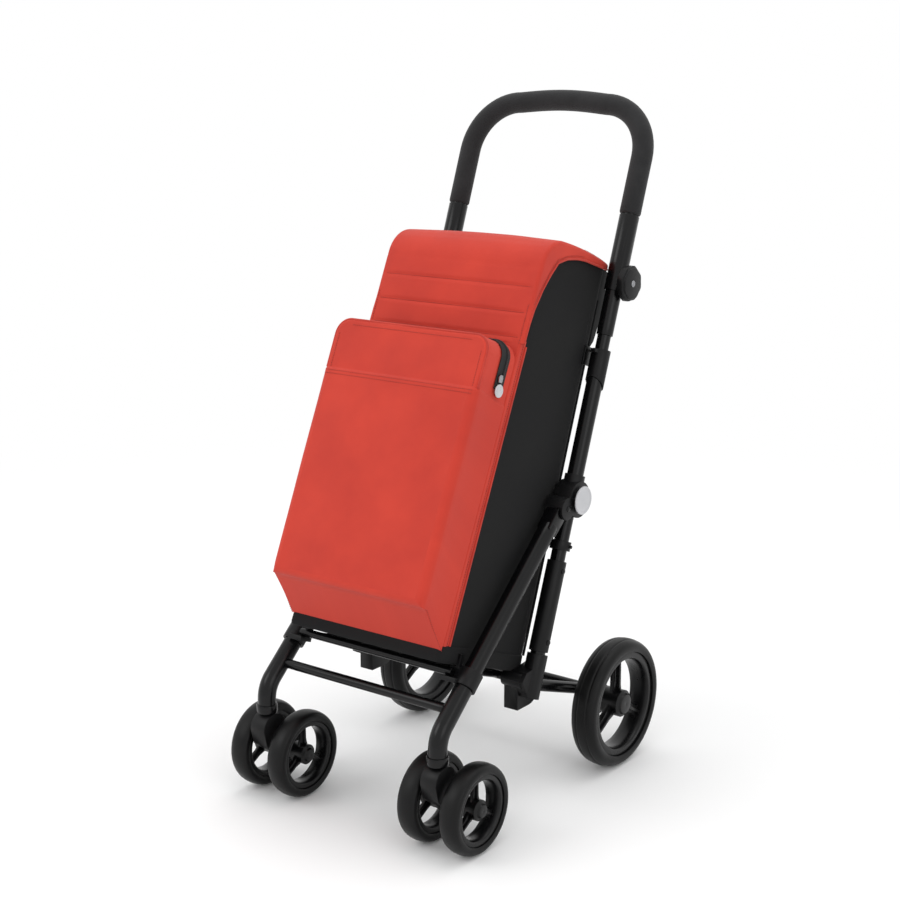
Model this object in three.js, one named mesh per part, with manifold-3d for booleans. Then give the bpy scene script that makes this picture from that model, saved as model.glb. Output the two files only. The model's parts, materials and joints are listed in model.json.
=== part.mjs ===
// Shopping trolley on wheels: a leaning tubular frame with a telescopic handle, folding front legs,
// twin-wheel casters, two rear wheels and a fabric bag with a lid and a front pocket.
// Millimetres, +Z up, -Y is the front, X = 0 is the middle plane.
import * as THREE from 'three';
import { mergeVertices } from 'three/addons/utils/BufferGeometryUtils.js';
import Module from 'manifold-3d';

const wasm = await Module();
wasm.setup();

// ---------------------------------------------------------------- driving dimensions
const GAP = 0.3;                 // between touching pieces
const RUN_GAP = 0.5;             // round anything that turns or slides

const LEAN = 20.3;               // degrees that the long tubes lean back
const TUBE_X = 158;              // middle plane to a long tube
const TUBE_FOOT_Y = -255.8;      // where the long tubes' line meets the floor, from the rear axle

// stations along the long tubes, measured up the lean from the floor
const FOOT_END = 180;
const SLEEVE_FROM = 241;
const SLEEVE_LENGTH = 135;
const COLLAR_AT = 399;
const HUB_AT = 469.5;
const COLLAR_SLEEVE_FROM = 632;
const COLLAR_SLEEVE_LENGTH = 61;
const UPRIGHT_FROM = 715;
const UPRIGHT_LENGTH = 137;
const SOCKET_FROM = 782;
const SOCKET_LENGTH = 115;
const KNOB_AT = 796;
const HANDLE_TOP = 1067;
const HANDLE_CORNER_R = 80;
const HANDLE_ARCH = 5;

const WALL = 1.6;
const LOWER_TUBE_R = 11;
const MID_TUBE_R = 12.25;
const INNER_TUBE_R = 10;
const HANDLE_TUBE_R = 12;
const GRIP_R = 16;
const SOCKET_R = 15;
const SLEEVE_R = 14.5;
const COLLAR_R = 15.5;
const COLLAR_LENGTH = 14;

const HUB_R = 27;
const HUB_INNER_X = TUBE_X - 14.5;
const HUB_WIDTH = 31;
const BUTTON_R = 21;
const BUTTON_TRAVEL = 4;

const KNOB_R = 27;
const KNOB_THICK = 13;
const KNOB_LOBES = 8;

const REAR_WHEEL_R = 100;
const REAR_WHEEL_WIDTH = 42;
const REAR_WHEEL_X = 186.5;
const REAR_AXLE_R = 5;
const REAR_BEAM_R = 9;
const BEAM_RISE = 9;             // beam above the axle
const ARM_R = 9;

const LEG_R = 13.5;
const LEG_ANGLE = 48.1;          // degrees from upright
const LEG_PIVOT = { ahead: 25.5, up: 452 };
const LEG_BEND_R = 42;
const LEG_FOOT_Z = 133;
const LEG_REACH = 391;           // pivot to the point where a leg turns down
const CROSSBAR_R = 7;
const CROSSBAR_ALONG = 347;      // from the pivot, down the leg

const CASTER_R = 65.3;
const CASTER_WIDTH = 32;
const CASTER_HALF_PITCH = 36.5;
const CASTER_TRAIL = 35;
const CASTER_BODY_WIDTH = 27;
const CASTER_AXLE_R = 4;
const STEM_R = 8;

const BAG_HALF_WIDTH = 136.5;
const BAG_FRONT_LOW = 212;       // ahead of the tubes, at the bottom
const BAG_FRONT_SLOPE = 0.072;
const BAG_BACK = -4;
const BAG_BOTTOM = 209;
const BAG_WALL = 4;
const BOARD_THICK = 3;
const BOARD_MARGIN = 6;           // from the board's edge to the bag's wall
const LID_TOP = 822;
const LID_SLOPE = 0.04;
const LID_CORNER_R = 46;
const LID_THICK = 6;
const LID_HALF_WIDTH = BAG_HALF_WIDTH + 4;
const LID_SKIRT = 14;
const LID_EDGE = 672;
const LID_GAP = 1.2;
const POCKET_HALF_WIDTH = BAG_HALF_WIDTH - 0.5;
const POCKET_FRONT_LOW = 277;
const POCKET_SLOPE = 0.066;
const POCKET_BOTTOM = 222;
const POCKET_FOLD = 274;
const POCKET_TOP = 656;

const PLATFORM_R = 6;
const PLATFORM_AT = 195;
const PLATFORM_BACK = 22;
const PLATFORM_FRONT = 178;
const PLATFORM_HALF_WIDTH = BAG_HALF_WIDTH - 18.5;
const WIRE_R = 3;
const WIRE_COUNT = 6;

// ---------------------------------------------------------------- materials
const finish = (color, roughness, metalness) =>
  new THREE.MeshStandardMaterial({ color, roughness, metalness });
const paintedSteel = finish(0x1b1b1d, 0.42, 0.5);
const blackPlastic = finish(0x222224, 0.55, 0.0);
const greyCap = finish(0xd4d4d7, 0.35, 0.0);
const foam = finish(0x242426, 0.9, 0.0);
const rubber = finish(0x1d1d1e, 0.85, 0.0);
const bareSteel = finish(0x9a9a9c, 0.3, 1.0);
const redFabric = finish(0xd0432f, 0.85, 0.0);
const blackFabric = finish(0x232325, 0.9, 0.0);

// ---------------------------------------------------------------- solids
const DEG = Math.PI / 180;

/** A closed solid from a geometry: shared corners merged, empty faces dropped, faces outwards. */
function solid(geometry) {
  const plain = geometry.clone();
  plain.deleteAttribute('normal');
  plain.deleteAttribute('uv');
  const merged = mergeVertices(plain, 1e-3);
  const p = merged.getAttribute('position');
  const index = merged.index.array;
  const faces = [];
  let volume = 0;
  const corner = [new THREE.Vector3(), new THREE.Vector3(), new THREE.Vector3()];
  for (let i = 0; i < index.length; i += 3) {
    const [a, b, c] = [index[i], index[i + 1], index[i + 2]];
    if (a === b || b === c || c === a) continue;
    faces.push([a, b, c]);
    [a, b, c].forEach((k, n) => corner[n].fromBufferAttribute(p, k));
    volume += corner[0].dot(corner[1].clone().cross(corner[2]));
  }
  const turned = volume < 0 ? faces.map(([a, b, c]) => [a, c, b]) : faces;
  return new wasm.Manifold(new wasm.Mesh({
    numProp: 3,
    vertProperties: Float32Array.from(p.array),
    triVerts: Uint32Array.from(turned.flat()),
  }));
}

/** The geometry of a finished solid. */
function geometryOf(body) {
  const mesh = body.getMesh();
  const geometry = new THREE.BufferGeometry();
  const corners = new Float32Array(mesh.vertProperties);
  geometry.setAttribute('position', new THREE.BufferAttribute(corners, mesh.numProp));
  geometry.setIndex(new THREE.BufferAttribute(new Uint32Array(mesh.triVerts), 1));
  geometry.computeVertexNormals();
  return geometry;
}

const join = (...bodies) => bodies.reduce((whole, next) => whole.add(next));
const cut = (body, ...tools) => tools.reduce((left, tool) => left.subtract(tool), body);

/** A rod along Z from z0 to z1. */
function rod(radius, z0, z1, sides = 16) {
  const g = new THREE.CylinderGeometry(radius, radius, z1 - z0, sides);
  return solid(g.rotateX(Math.PI / 2).translate(0, 0, (z0 + z1) / 2));
}

/** A rod along X from x0 to x1, at a height and depth. */
function rodX(radius, x0, x1, y, z, sides = 16) {
  const g = new THREE.CylinderGeometry(radius, radius, x1 - x0, sides);
  return solid(g.rotateZ(Math.PI / 2).translate((x0 + x1) / 2, y, z));
}

/** A tube along Z. */
const pipe = (outer, inner, z0, z1, sides = 16) =>
  cut(rod(outer, z0, z1, sides), rod(inner, z0 - 1, z1 + 1, sides));

/** A box between two corners. */
function box(x0, x1, y0, y1, z0, z1) {
  const g = new THREE.BoxGeometry(x1 - x0, y1 - y0, z1 - z0);
  return solid(g.translate((x0 + x1) / 2, (y0 + y1) / 2, (z0 + z1) / 2));
}

/** A side outline, given as [y, z] points, made x0 to x1 wide. */
function slab(outline, x0, x1) {
  const shape = new THREE.Shape(outline.map(([y, z]) => new THREE.Vector2(y, z)));
  const g = new THREE.ExtrudeGeometry(shape, { depth: x1 - x0, bevelEnabled: false });
  g.rotateY(Math.PI / 2).rotateX(Math.PI / 2).translate(x0, 0, 0);
  return solid(g);
}

/** A line through chosen points, with its stations at those points. */
class Route extends THREE.Curve {
  constructor(points) {
    super();
    this.points = points;
  }

  getPoint(t) {
    return this.points[Math.round(t * (this.points.length - 1))].clone();
  }

  getTangent(t) {
    const last = this.points.length - 1;
    const k = Math.round(t * last);
    const before = this.points[Math.max(k - 1, 0)];
    const after = this.points[Math.min(k + 1, last)];
    const tangent = new THREE.Vector3();
    if (k > 0) tangent.add(this.points[k].clone().sub(before).normalize());
    if (k < last) tangent.add(after.clone().sub(this.points[k]).normalize());
    return tangent.normalize();
  }

  getUtoTmapping(u) {
    return u;
  }
}

/** A round bar along a route, or a tube if a bore is given. */
function bentTube(route, radius, sides, bore = 0) {
  const circle = (r) => {
    const shape = new THREE.Shape();
    const at = (k) => [r * Math.cos((k / sides) * 2 * Math.PI), r * Math.sin((k / sides) * 2 * Math.PI)];
    shape.moveTo(...at(0));
    for (let k = 1; k < sides; k += 1) shape.lineTo(...at(k));
    shape.closePath();
    return shape;
  };
  const section = circle(radius);
  if (bore > 0) section.holes.push(circle(bore));
  const steps = route.points.length - 1;
  return solid(new THREE.ExtrudeGeometry(section, { steps, extrudePath: route, bevelEnabled: false }));
}

/** Points of an arc in a side outline, from one angle to another in degrees. */
function arc(cy, cz, radius, from, to, count) {
  return Array.from({ length: count + 1 }, (_, k) => {
    const a = (from + ((to - from) * k) / count) * DEG;
    return [cy + radius * Math.cos(a), cz + radius * Math.sin(a)];
  });
}

/** A ring turned about X from a half section of [x, radius] points. */
function turnedX(section, segments) {
  const profile = section.map(([x, r]) => new THREE.Vector2(r, x));
  profile.push(profile[0].clone());
  return solid(new THREE.LatheGeometry(profile, segments).rotateZ(-Math.PI / 2));
}

// ---------------------------------------------------------------- the scene graph
const trolley = new THREE.Group();
const lean = new THREE.Group();              // Z runs up the long tubes, -Y square to them, forwards
lean.rotation.x = -LEAN * DEG;
lean.position.set(0, TUBE_FOOT_Y, 0);
trolley.add(lean);

/** Names a solid and puts it in a group. */
function add(parent, name, body, material, x = 0, y = 0, z = 0) {
  const mesh = new THREE.Mesh(geometryOf(body), material);
  mesh.name = name;
  mesh.position.set(x, y, z);
  parent.add(mesh);
  return mesh;
}

const sides = [['left', -1], ['right', 1]];
const mirrored = (body, sign) => (sign > 0 ? body : body.mirror([1, 0, 0]));

/** Adds a piece drawn for the right-hand side on both sides. */
function addPair(parent, name, body, material, y = 0, z = 0) {
  for (const [side, sign] of sides) add(parent, `${name}_${side}`, mirrored(body, sign), material, 0, y, z);
}

/** The point of the upright frame at a place in the leaning one. */
function fromLean(ahead, up) {
  const c = Math.cos(LEAN * DEG);
  const s = Math.sin(LEAN * DEG);
  return { y: TUBE_FOOT_Y + up * s - ahead * c, z: up * c + ahead * s };
}

// ---------------------------------------------------------------- handle
/** The handle's line: up one leg, round the corners and over an arched bar. */
function handleRoute(from) {
  const shoulder = HANDLE_TOP - HANDLE_CORNER_R;
  const inner = TUBE_X - HANDLE_CORNER_R;
  const corner = (sign) => arc(sign * inner, shoulder, HANDLE_CORNER_R, 90 - sign * 90, 90, 6);
  const left = corner(-1);
  const right = corner(1).reverse();
  const outline = [[-TUBE_X, from], ...left, [0, HANDLE_TOP + HANDLE_ARCH], ...right, [TUBE_X, from]];
  return new Route(outline.map(([x, z]) => new THREE.Vector3(x, 0, z)));
}

const socketEnd = SOCKET_FROM + SOCKET_LENGTH;
const handleTubeFrom = socketEnd - 30;
add(lean, 'handle_tube', bentTube(handleRoute(handleTubeFrom), HANDLE_TUBE_R, 12), paintedSteel);
const gripBore = HANDLE_TUBE_R + 0.8;
add(lean, 'foam_grip', bentTube(handleRoute(socketEnd + 2), GRIP_R, 12, gripBore), foam);

const socketBore = MID_TUBE_R + RUN_GAP;
const socketFaceX = TUBE_X + SOCKET_R + 2;
const studR = 4;
const studIn = 4;
const socket = cut(
  join(
    rod(SOCKET_R, SOCKET_FROM, socketEnd).translate(TUBE_X, 0, 0),
    rodX(13, TUBE_X, socketFaceX, 0, KNOB_AT),
  ),
  rod(socketBore, SOCKET_FROM - 1, socketEnd + 1).translate(TUBE_X, 0, 0),
  rodX(studR + RUN_GAP, socketFaceX - studIn + 1.5, socketFaceX + 1, 0, KNOB_AT, 12),
);
addPair(lean, 'handle_socket', socket, blackPlastic);

/** A round clamp knob with shallow lobes and a stud, on the X axis with its inner face at x = 0. */
function clampKnob() {
  const rim = (r) => {
    const count = KNOB_LOBES * 4;
    return Array.from({ length: count }, (_, k) => {
      const a = (k / count) * 2 * Math.PI;
      const wave = 1 + 0.035 * Math.cos(KNOB_LOBES * a);
      return [r * wave * Math.cos(a), r * wave * Math.sin(a)];
    });
  };
  const stud = rodX(studR, 1.8 - studIn, 1, 0, 0, 12);
  return join(
    slab(rim(KNOB_R / 1.035), 0, KNOB_THICK - 3),
    slab(rim((KNOB_R - 3) / 1.035), KNOB_THICK - 4, KNOB_THICK),
    stud,
  );
}
for (const [side, sign] of sides) {
  const knob = mirrored(clampKnob(), sign);
  add(lean, `clamp_knob_${side}`, knob, blackPlastic, sign * (socketFaceX + RUN_GAP), 0, KNOB_AT);
}

// ---------------------------------------------------------------- long tubes
const midBore = MID_TUBE_R - WALL;
const uprightEnd = UPRIGHT_FROM + UPRIGHT_LENGTH;
const uprightPin = rodX(2.5, TUBE_X + MID_TUBE_R - 1, TUBE_X + MID_TUBE_R + 4, 0, UPRIGHT_FROM + 14, 12);
const upright = join(pipe(MID_TUBE_R, midBore, UPRIGHT_FROM, uprightEnd).translate(TUBE_X, 0, 0), uprightPin);
addPair(lean, 'upright_tube', upright, paintedSteel);

const collarSleeveEnd = COLLAR_SLEEVE_FROM + COLLAR_SLEEVE_LENGTH;
const midTubeEnd = COLLAR_SLEEVE_FROM + 28;
const innerTube = pipe(INNER_TUBE_R, INNER_TUBE_R - WALL, COLLAR_SLEEVE_FROM + 8, UPRIGHT_FROM + 45);
addPair(lean, 'inner_tube', innerTube.translate(TUBE_X, 0, 0), paintedSteel);

const hubTop = HUB_AT + HUB_R;
const midTube = pipe(MID_TUBE_R, midBore, hubTop - 12, midTubeEnd);
addPair(lean, 'mid_tube', midTube.translate(TUBE_X, 0, 0), paintedSteel);

/** The sleeve that locks the telescopic tubes: bored in two steps, cut aslant below, with a hook. */
function collarSleeve() {
  const barrel = rod(SLEEVE_R, COLLAR_SLEEVE_FROM, collarSleeveEnd);
  const lowBore = rod(MID_TUBE_R + GAP, COLLAR_SLEEVE_FROM - 1, midTubeEnd + 1);
  const highBore = rod(INNER_TUBE_R + GAP, midTubeEnd, collarSleeveEnd + 1);
  const slope = 10;
  const slant = slab([
    [-SLEEVE_R - 1, COLLAR_SLEEVE_FROM + 2 * slope], [SLEEVE_R + 1, COLLAR_SLEEVE_FROM],
    [SLEEVE_R + 1, COLLAR_SLEEVE_FROM - 2], [-SLEEVE_R - 1, COLLAR_SLEEVE_FROM - 2],
  ], -SLEEVE_R - 1, SLEEVE_R + 1);
  const hook = box(-4, 4, -SLEEVE_R - 8, -SLEEVE_R + 1, collarSleeveEnd - 7, collarSleeveEnd - 2);
  return cut(join(barrel, hook), lowBore, highBore, slant);
}
addPair(lean, 'collar_sleeve', collarSleeve().translate(TUBE_X, 0, 0), blackPlastic);

const hubBottom = HUB_AT - HUB_R;
const lowerTube = pipe(LOWER_TUBE_R, LOWER_TUBE_R - WALL, FOOT_END, hubBottom + 8);
addPair(lean, 'lower_tube', lowerTube.translate(TUBE_X, 0, 0), paintedSteel);

const lowerBore = LOWER_TUBE_R + GAP;
const sleeve = pipe(SLEEVE_R, lowerBore, SLEEVE_FROM, SLEEVE_FROM + SLEEVE_LENGTH);
addPair(lean, 'lower_sleeve', sleeve.translate(TUBE_X, 0, 0), blackPlastic);

/** The stop collar below the hub, with a pin outside and one behind. */
function stopCollar() {
  const from = COLLAR_AT - COLLAR_LENGTH / 2;
  const band = join(
    rod(COLLAR_R, from, from + COLLAR_LENGTH),
    rodX(2.5, COLLAR_R - 2, COLLAR_R + 4, 0, COLLAR_AT, 12),
    rodX(2.5, -3, 3, COLLAR_R, COLLAR_AT, 12),
  );
  return cut(band, rod(lowerBore, from - 1, from + COLLAR_LENGTH + 1));
}
addPair(lean, 'stop_collar', stopCollar().translate(TUBE_X, 0, 0), blackPlastic);

// ---------------------------------------------------------------- hubs and their buttons
const hubOuterX = HUB_INNER_X + HUB_WIDTH;
const cheek = 4;
const tongueHalf = HUB_WIDTH / 2 - cheek - RUN_GAP;
const tongueR = 13;
const hubMidX = HUB_INNER_X + HUB_WIDTH / 2;
const legPinR = 4;
const buttonShaftR = 8;
const buttonShaftIn = 8;

/** A hub: a barrel across the tube, a fork for the leg's tongue and the pin that the leg turns on. */
function hub() {
  const pivotY = -LEG_PIVOT.ahead;
  const slot0 = HUB_INNER_X + cheek;
  const slot1 = hubOuterX - cheek;
  const slotR = tongueR + 2;
  const sweep = [
    [pivotY - slotR, LEG_PIVOT.up], [pivotY - slotR - 30, LEG_PIVOT.up - 60],
    [pivotY + slotR, LEG_PIVOT.up - 60], [pivotY + slotR, LEG_PIVOT.up],
  ];
  const whole = join(
    rodX(HUB_R, HUB_INNER_X, hubOuterX, 0, HUB_AT, 24),
    rodX(slotR + 2, HUB_INNER_X, hubOuterX, pivotY, LEG_PIVOT.up, 16),
    rod(MID_TUBE_R + 3, HUB_AT, hubTop + 8).translate(TUBE_X, 0, 0),
  );
  const open = cut(
    whole,
    rodX(slotR, slot0, slot1, pivotY, LEG_PIVOT.up, 16),
    slab(sweep, slot0, slot1),
    rod(MID_TUBE_R + GAP, hubTop - 12 - GAP, hubTop + 20).translate(TUBE_X, 0, 0),
    rod(lowerBore, hubBottom - 20, hubBottom + 8 + GAP).translate(TUBE_X, 0, 0),
    rodX(buttonShaftR + RUN_GAP, hubOuterX - buttonShaftIn, hubOuterX + 1, 0, HUB_AT, 12),
  );
  return join(open, rodX(legPinR, slot0 - 1, slot1 + 1, pivotY, LEG_PIVOT.up, 16));
}
addPair(lean, 'hub_body', hub(), blackPlastic);

/** A hub's push button: a shallow disc and its shaft, which slides into the hub. */
function hubButton() {
  const face = hubOuterX + RUN_GAP + BUTTON_TRAVEL;
  const dome = turnedX([
    [face, 0], [face, BUTTON_R], [face + 2.5, BUTTON_R], [face + 4, BUTTON_R - 3], [face + 4.6, 0],
  ], 24);
  const shaft = rodX(buttonShaftR, hubOuterX - buttonShaftIn + BUTTON_TRAVEL + RUN_GAP, face + 1, 0, 0, 12);
  return join(dome, shaft);
}
addPair(lean, 'hub_button', hubButton(), greyCap, 0, HUB_AT);

// ---------------------------------------------------------------- feet, arms and rear beam
const pivotBoss = 12;
const bracketInnerX = PLATFORM_HALF_WIDTH + PLATFORM_R + 1;
const armX = bracketInnerX + 11;
const beamZ = REAR_WHEEL_R + BEAM_RISE;
const armFrom = fromLean(-8, 188);
const platformPivotX = bracketInnerX + 14;

/** A foot bracket: a socket for the tube, a boss for the platform's pivot and a block for the arm. */
function footBracket() {
  const socketOfTube = rod(SLEEVE_R + 1, FOOT_END - 8, SLEEVE_FROM - 4).translate(TUBE_X, 0, 0);
  const boss = rodX(pivotBoss, bracketInnerX, TUBE_X, -PLATFORM_BACK, PLATFORM_AT);
  const web = slab([
    [-PLATFORM_BACK - pivotBoss, PLATFORM_AT - 2], [-PLATFORM_BACK - 6, PLATFORM_AT + 12],
    [12, PLATFORM_AT + 32], [16, PLATFORM_AT - 12], [-8, PLATFORM_AT - 24],
  ], BAG_HALF_WIDTH + 2, TUBE_X + 6);
  const upright = join(socketOfTube, boss, web);
  const turned = upright.rotate([-LEAN, 0, 0]).translate(0, TUBE_FOOT_Y, 0);
  const { y, z } = armFrom;
  const blockOutline = [
    [y - 28, z + 22], [y - 28, z - 30], [y + 2, z - 30],
    ...arc(y + 2, z - 8, 22, -90, 0, 6), [y + 24, z + 16],
  ];
  const block = slab(blockOutline, bracketInnerX, bracketInnerX + 24);
  const armBore = rod(ARM_R + GAP, -14, 60).rotate([-armTilt(), 0, 0]).translate(armX, y, z);
  const tubeBore = rod(lowerBore, FOOT_END - GAP, SLEEVE_FROM + 20).translate(TUBE_X, 0, 0)
    .rotate([-LEAN, 0, 0]).translate(0, TUBE_FOOT_Y, 0);
  const pivotEnd = platformPivotX + GAP;
  const pivotBore = rodX(PLATFORM_R + GAP, bracketInnerX - 1, pivotEnd, -PLATFORM_BACK, PLATFORM_AT)
    .rotate([-LEAN, 0, 0]).translate(0, TUBE_FOOT_Y, 0);
  return cut(join(turned, block), armBore, tubeBore, pivotBore);
}

/** Degrees from upright of the arm, which runs back and down to the beam. */
function armTilt() {
  return 90 + Math.atan2(armFrom.z - beamZ, -armFrom.y) / DEG;
}

/** An arm from a foot bracket to an eye round the rear beam. */
function rearArm() {
  const length = Math.hypot(armFrom.y, armFrom.z - beamZ);
  const bar = rod(ARM_R, -12, length).rotate([-armTilt(), 0, 0]).translate(armX, armFrom.y, armFrom.z);
  const eye = rodX(REAR_BEAM_R + 6, armX - ARM_R, armX + ARM_R, 0, beamZ);
  return cut(join(bar, eye), rodX(REAR_BEAM_R + GAP, armX - 20, armX + 20, 0, beamZ));
}
addPair(trolley, 'foot_bracket', footBracket(), blackPlastic);
addPair(trolley, 'rear_arm', rearArm(), paintedSteel);

const wheelInnerX = REAR_WHEEL_X - REAR_WHEEL_WIDTH / 2;
const receiverX = armX + ARM_R + GAP;
const receiverEnd = wheelInnerX - 1;
const beamEnd = receiverX + 7;
const beam = cut(
  rodX(REAR_BEAM_R, -beamEnd, beamEnd, 0, beamZ),
  rodX(REAR_BEAM_R - WALL, -beamEnd - 1, beamEnd + 1, 0, beamZ),
);
add(trolley, 'rear_beam', beam, paintedSteel);

/** The block at a beam's end that holds the wheel's axle, ribbed outside. */
function axleReceiver() {
  const top = beamZ + REAR_BEAM_R + 5;
  const low = REAR_WHEEL_R - 22;
  const outline = [
    [-17, low + 8], [-9, low], [9, low], [17, low + 8], ...arc(0, top - 16, 16, 0, 180, 10),
  ];
  const ribs = Array.from({ length: 3 }, (_, k) => {
    const z = low + 5 + 5 * k;
    return box(receiverX + 2, receiverEnd - 1, -19, 19, z, z + 2);
  });
  return cut(
    join(slab(outline, receiverX, receiverEnd), ...ribs),
    rodX(REAR_BEAM_R + GAP, receiverX - 1, beamEnd + GAP, 0, beamZ),
    rodX(REAR_AXLE_R + GAP, beamEnd + 1.5, receiverEnd + 1, 0, REAR_WHEEL_R, 16),
  );
}

// ---------------------------------------------------------------- wheels
/** A spoked rim on the X axis: hub, three flared spokes and a ring. */
function rim({ outer, ring, width, hubR, hubWidth, boreR, spoke, cap, segments }) {
  const half = width / 2;
  const ringBody = turnedX([
    [-half, ring], [-half, outer], [half, outer], [half, ring],
  ], segments);
  const arms = Array.from({ length: 3 }, (_, k) => {
    const arm = slab([
      [-spoke * 1.25, hubR * 0.6], [spoke * 1.25, hubR * 0.6], [spoke, (hubR + ring) / 2],
      [spoke * 1.5, ring + 1], [-spoke * 1.5, ring + 1], [-spoke, (hubR + ring) / 2],
    ], -half * 0.45, half * 0.45);
    return arm.rotate([120 * k, 0, 0]);
  });
  const centre = rodX(hubR, -hubWidth / 2, hubWidth / 2, 0, 0, 16);
  const bore = rodX(boreR, -hubWidth / 2 - 1, hubWidth / 2 - cap, 0, 0, 12);
  return cut(join(ringBody, ...arms, centre), bore);
}

/** A round-shouldered tyre on the X axis. */
function tyre({ outer, inner, width, segments }) {
  const half = width / 2;
  const crown = outer - inner;
  const section = Array.from({ length: 5 }, (_, k) => {
    const a = (k / 4) * Math.PI;
    return [-half * Math.cos(a), inner + crown * (0.35 + 0.65 * Math.sin(a) ** 0.7)];
  });
  return turnedX([[-half, inner], ...section, [half, inner]], segments);
}

const rearRim = rim({
  outer: 81.5, ring: 70, width: 34, hubR: 21, hubWidth: 40, boreR: REAR_AXLE_R + RUN_GAP,
  spoke: 9, cap: 6, segments: 32,
});
const rearTyre = tyre({ outer: REAR_WHEEL_R, inner: 81.5 + GAP, width: REAR_WHEEL_WIDTH, segments: 32 });
for (const [side, sign] of sides) {
  const x = sign * REAR_WHEEL_X;
  add(trolley, `rear_rim_${side}`, mirrored(rearRim, sign), blackPlastic, x, 0, REAR_WHEEL_R);
  add(trolley, `rear_tyre_${side}`, rearTyre, rubber, x, 0, REAR_WHEEL_R);
}
addPair(trolley, 'axle_receiver', axleReceiver(), blackPlastic);
const axlePin = rodX(REAR_AXLE_R, beamEnd + 2, REAR_WHEEL_X + 13, 0, REAR_WHEEL_R, 16);
addPair(trolley, 'rear_axle_pin', axlePin, bareSteel);

// ---------------------------------------------------------------- front legs and casters
const pivot = fromLean(LEG_PIVOT.ahead, LEG_PIVOT.up);
const legDown = { y: -Math.sin(LEG_ANGLE * DEG), z: -Math.cos(LEG_ANGLE * DEG) };
const onLeg = (d) => ({ y: pivot.y + legDown.y * d, z: pivot.z + legDown.z * d });
const swivel = onLeg(LEG_REACH);

/** The line of a leg from below its tongue, down the slope and round to the upright foot. */
function legRoute(from) {
  const run = LEG_BEND_R * Math.tan((LEG_ANGLE / 2) * DEG);
  const turnOut = swivel.z - run;
  const bend = arc(swivel.y + LEG_BEND_R, turnOut, LEG_BEND_R, 180 - LEG_ANGLE, 180, 4);
  const start = onLeg(from);
  const outline = [[start.y, start.z], ...bend, [swivel.y, LEG_FOOT_Z]];
  return new Route(outline.map(([y, z]) => new THREE.Vector3(TUBE_X, y, z)));
}

/** A front leg: a tongue in the hub's fork, a bent tube and a bore for the caster's stem. */
function frontLeg() {
  const tubeFrom = 34;
  const bar = bentTube(legRoute(tubeFrom), LEG_R, 14);
  const x0 = hubMidX - tongueHalf;
  const x1 = hubMidX + tongueHalf;
  const eye = rodX(tongueR, x0, x1, pivot.y, pivot.z, 16);
  const angle = LEG_ANGLE * DEG;
  const across = { y: Math.cos(angle) * (tongueR - 1.5), z: -Math.sin(angle) * (tongueR - 1.5) };
  const far = onLeg(tubeFrom + 8);
  const tongue = slab([
    [pivot.y + across.y, pivot.z + across.z], [pivot.y - across.y, pivot.z - across.z],
    [far.y - across.y, far.z - across.z], [far.y + across.y, far.z + across.z],
  ], x0, x1);
  const foot = rod(LEG_R + 2, LEG_FOOT_Z, LEG_FOOT_Z + 12).translate(TUBE_X, swivel.y, 0);
  return cut(
    join(bar, eye, tongue, foot),
    rodX(legPinR + RUN_GAP, x0 - 1, x1 + 1, pivot.y, pivot.z, 16),
    rod(STEM_R + RUN_GAP, LEG_FOOT_Z - 1, swivel.z - 8, 12).translate(TUBE_X, swivel.y, 0),
  );
}
addPair(trolley, 'front_leg', frontLeg(), paintedSteel);

const bar = onLeg(CROSSBAR_ALONG);
const crossbarEnd = TUBE_X - LEG_R - GAP;
add(trolley, 'front_crossbar', rodX(CROSSBAR_R, -crossbarEnd, crossbarEnd, bar.y, bar.z), paintedSteel);

/** A clip: a band round the leg and a cradle, open to the front, for the platform's front bar. */
function platformClip() {
  const rest = fromLean(PLATFORM_FRONT, PLATFORM_AT);
  const along = (rest.y - pivot.y) * legDown.y + (rest.z - pivot.z) * legDown.z;
  const at = onLeg(along);
  const band = cut(rod(LEG_R + 3.5, -13, 13), rod(LEG_R + GAP, -14, 14));
  const ring = band.rotate([-LEG_ANGLE, 0, 0]).translate(TUBE_X, at.y, at.z);
  const seat = PLATFORM_R + GAP;
  const wall = 6;
  const cradle = (rise, x0, x1) => slab([
    [-PLATFORM_FRONT + seat + wall, PLATFORM_AT + rise], [-PLATFORM_FRONT + seat + wall, PLATFORM_AT - 13],
    [-PLATFORM_FRONT - seat - wall, PLATFORM_AT - 13], [-PLATFORM_FRONT - seat - wall, PLATFORM_AT - seat],
    ...arc(-PLATFORM_FRONT, PLATFORM_AT, seat, -90, 0, 5),
    [-PLATFORM_FRONT + seat, PLATFORM_AT + rise],
  ], x0, x1);
  const prongIn = BAG_HALF_WIDTH + 2;
  const lug = join(cradle(8, prongIn - 10, TUBE_X - 4), cradle(26, prongIn, TUBE_X - LEG_R - 1))
    .rotate([-LEAN, 0, 0]).translate(0, TUBE_FOOT_Y, 0);
  const legHole = rod(LEG_R + GAP, -60, 60).rotate([-LEG_ANGLE, 0, 0]).translate(TUBE_X, at.y, at.z);
  return cut(join(ring, lug), legHole);
}
addPair(trolley, 'platform_clip', platformClip(), blackPlastic);

/** A caster's body, drawn about the swivel axis: stem, housing between the wheels, and axle. */
function casterFork() {
  const top = LEG_FOOT_Z - 1.2;
  const half = CASTER_BODY_WIDTH / 2;
  const outline = [
    ...arc(0, top - 24, 22, 180, 90, 6).map(([y, z]) => [y, z + 2]),
    ...arc(2, top - 22, 22, 90, 40, 4),
    ...arc(CASTER_TRAIL, CASTER_R, 17, 30, -120, 10),
    [-16, top - 46],
  ];
  const reach = CASTER_HALF_PITCH + CASTER_WIDTH / 2 - 7;
  return join(
    slab(outline, -half, half),
    rod(STEM_R, top - 4, swivel.z - 10, 12),
    rodX(CASTER_AXLE_R, -reach, reach, CASTER_TRAIL, CASTER_R, 14),
  );
}

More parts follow.
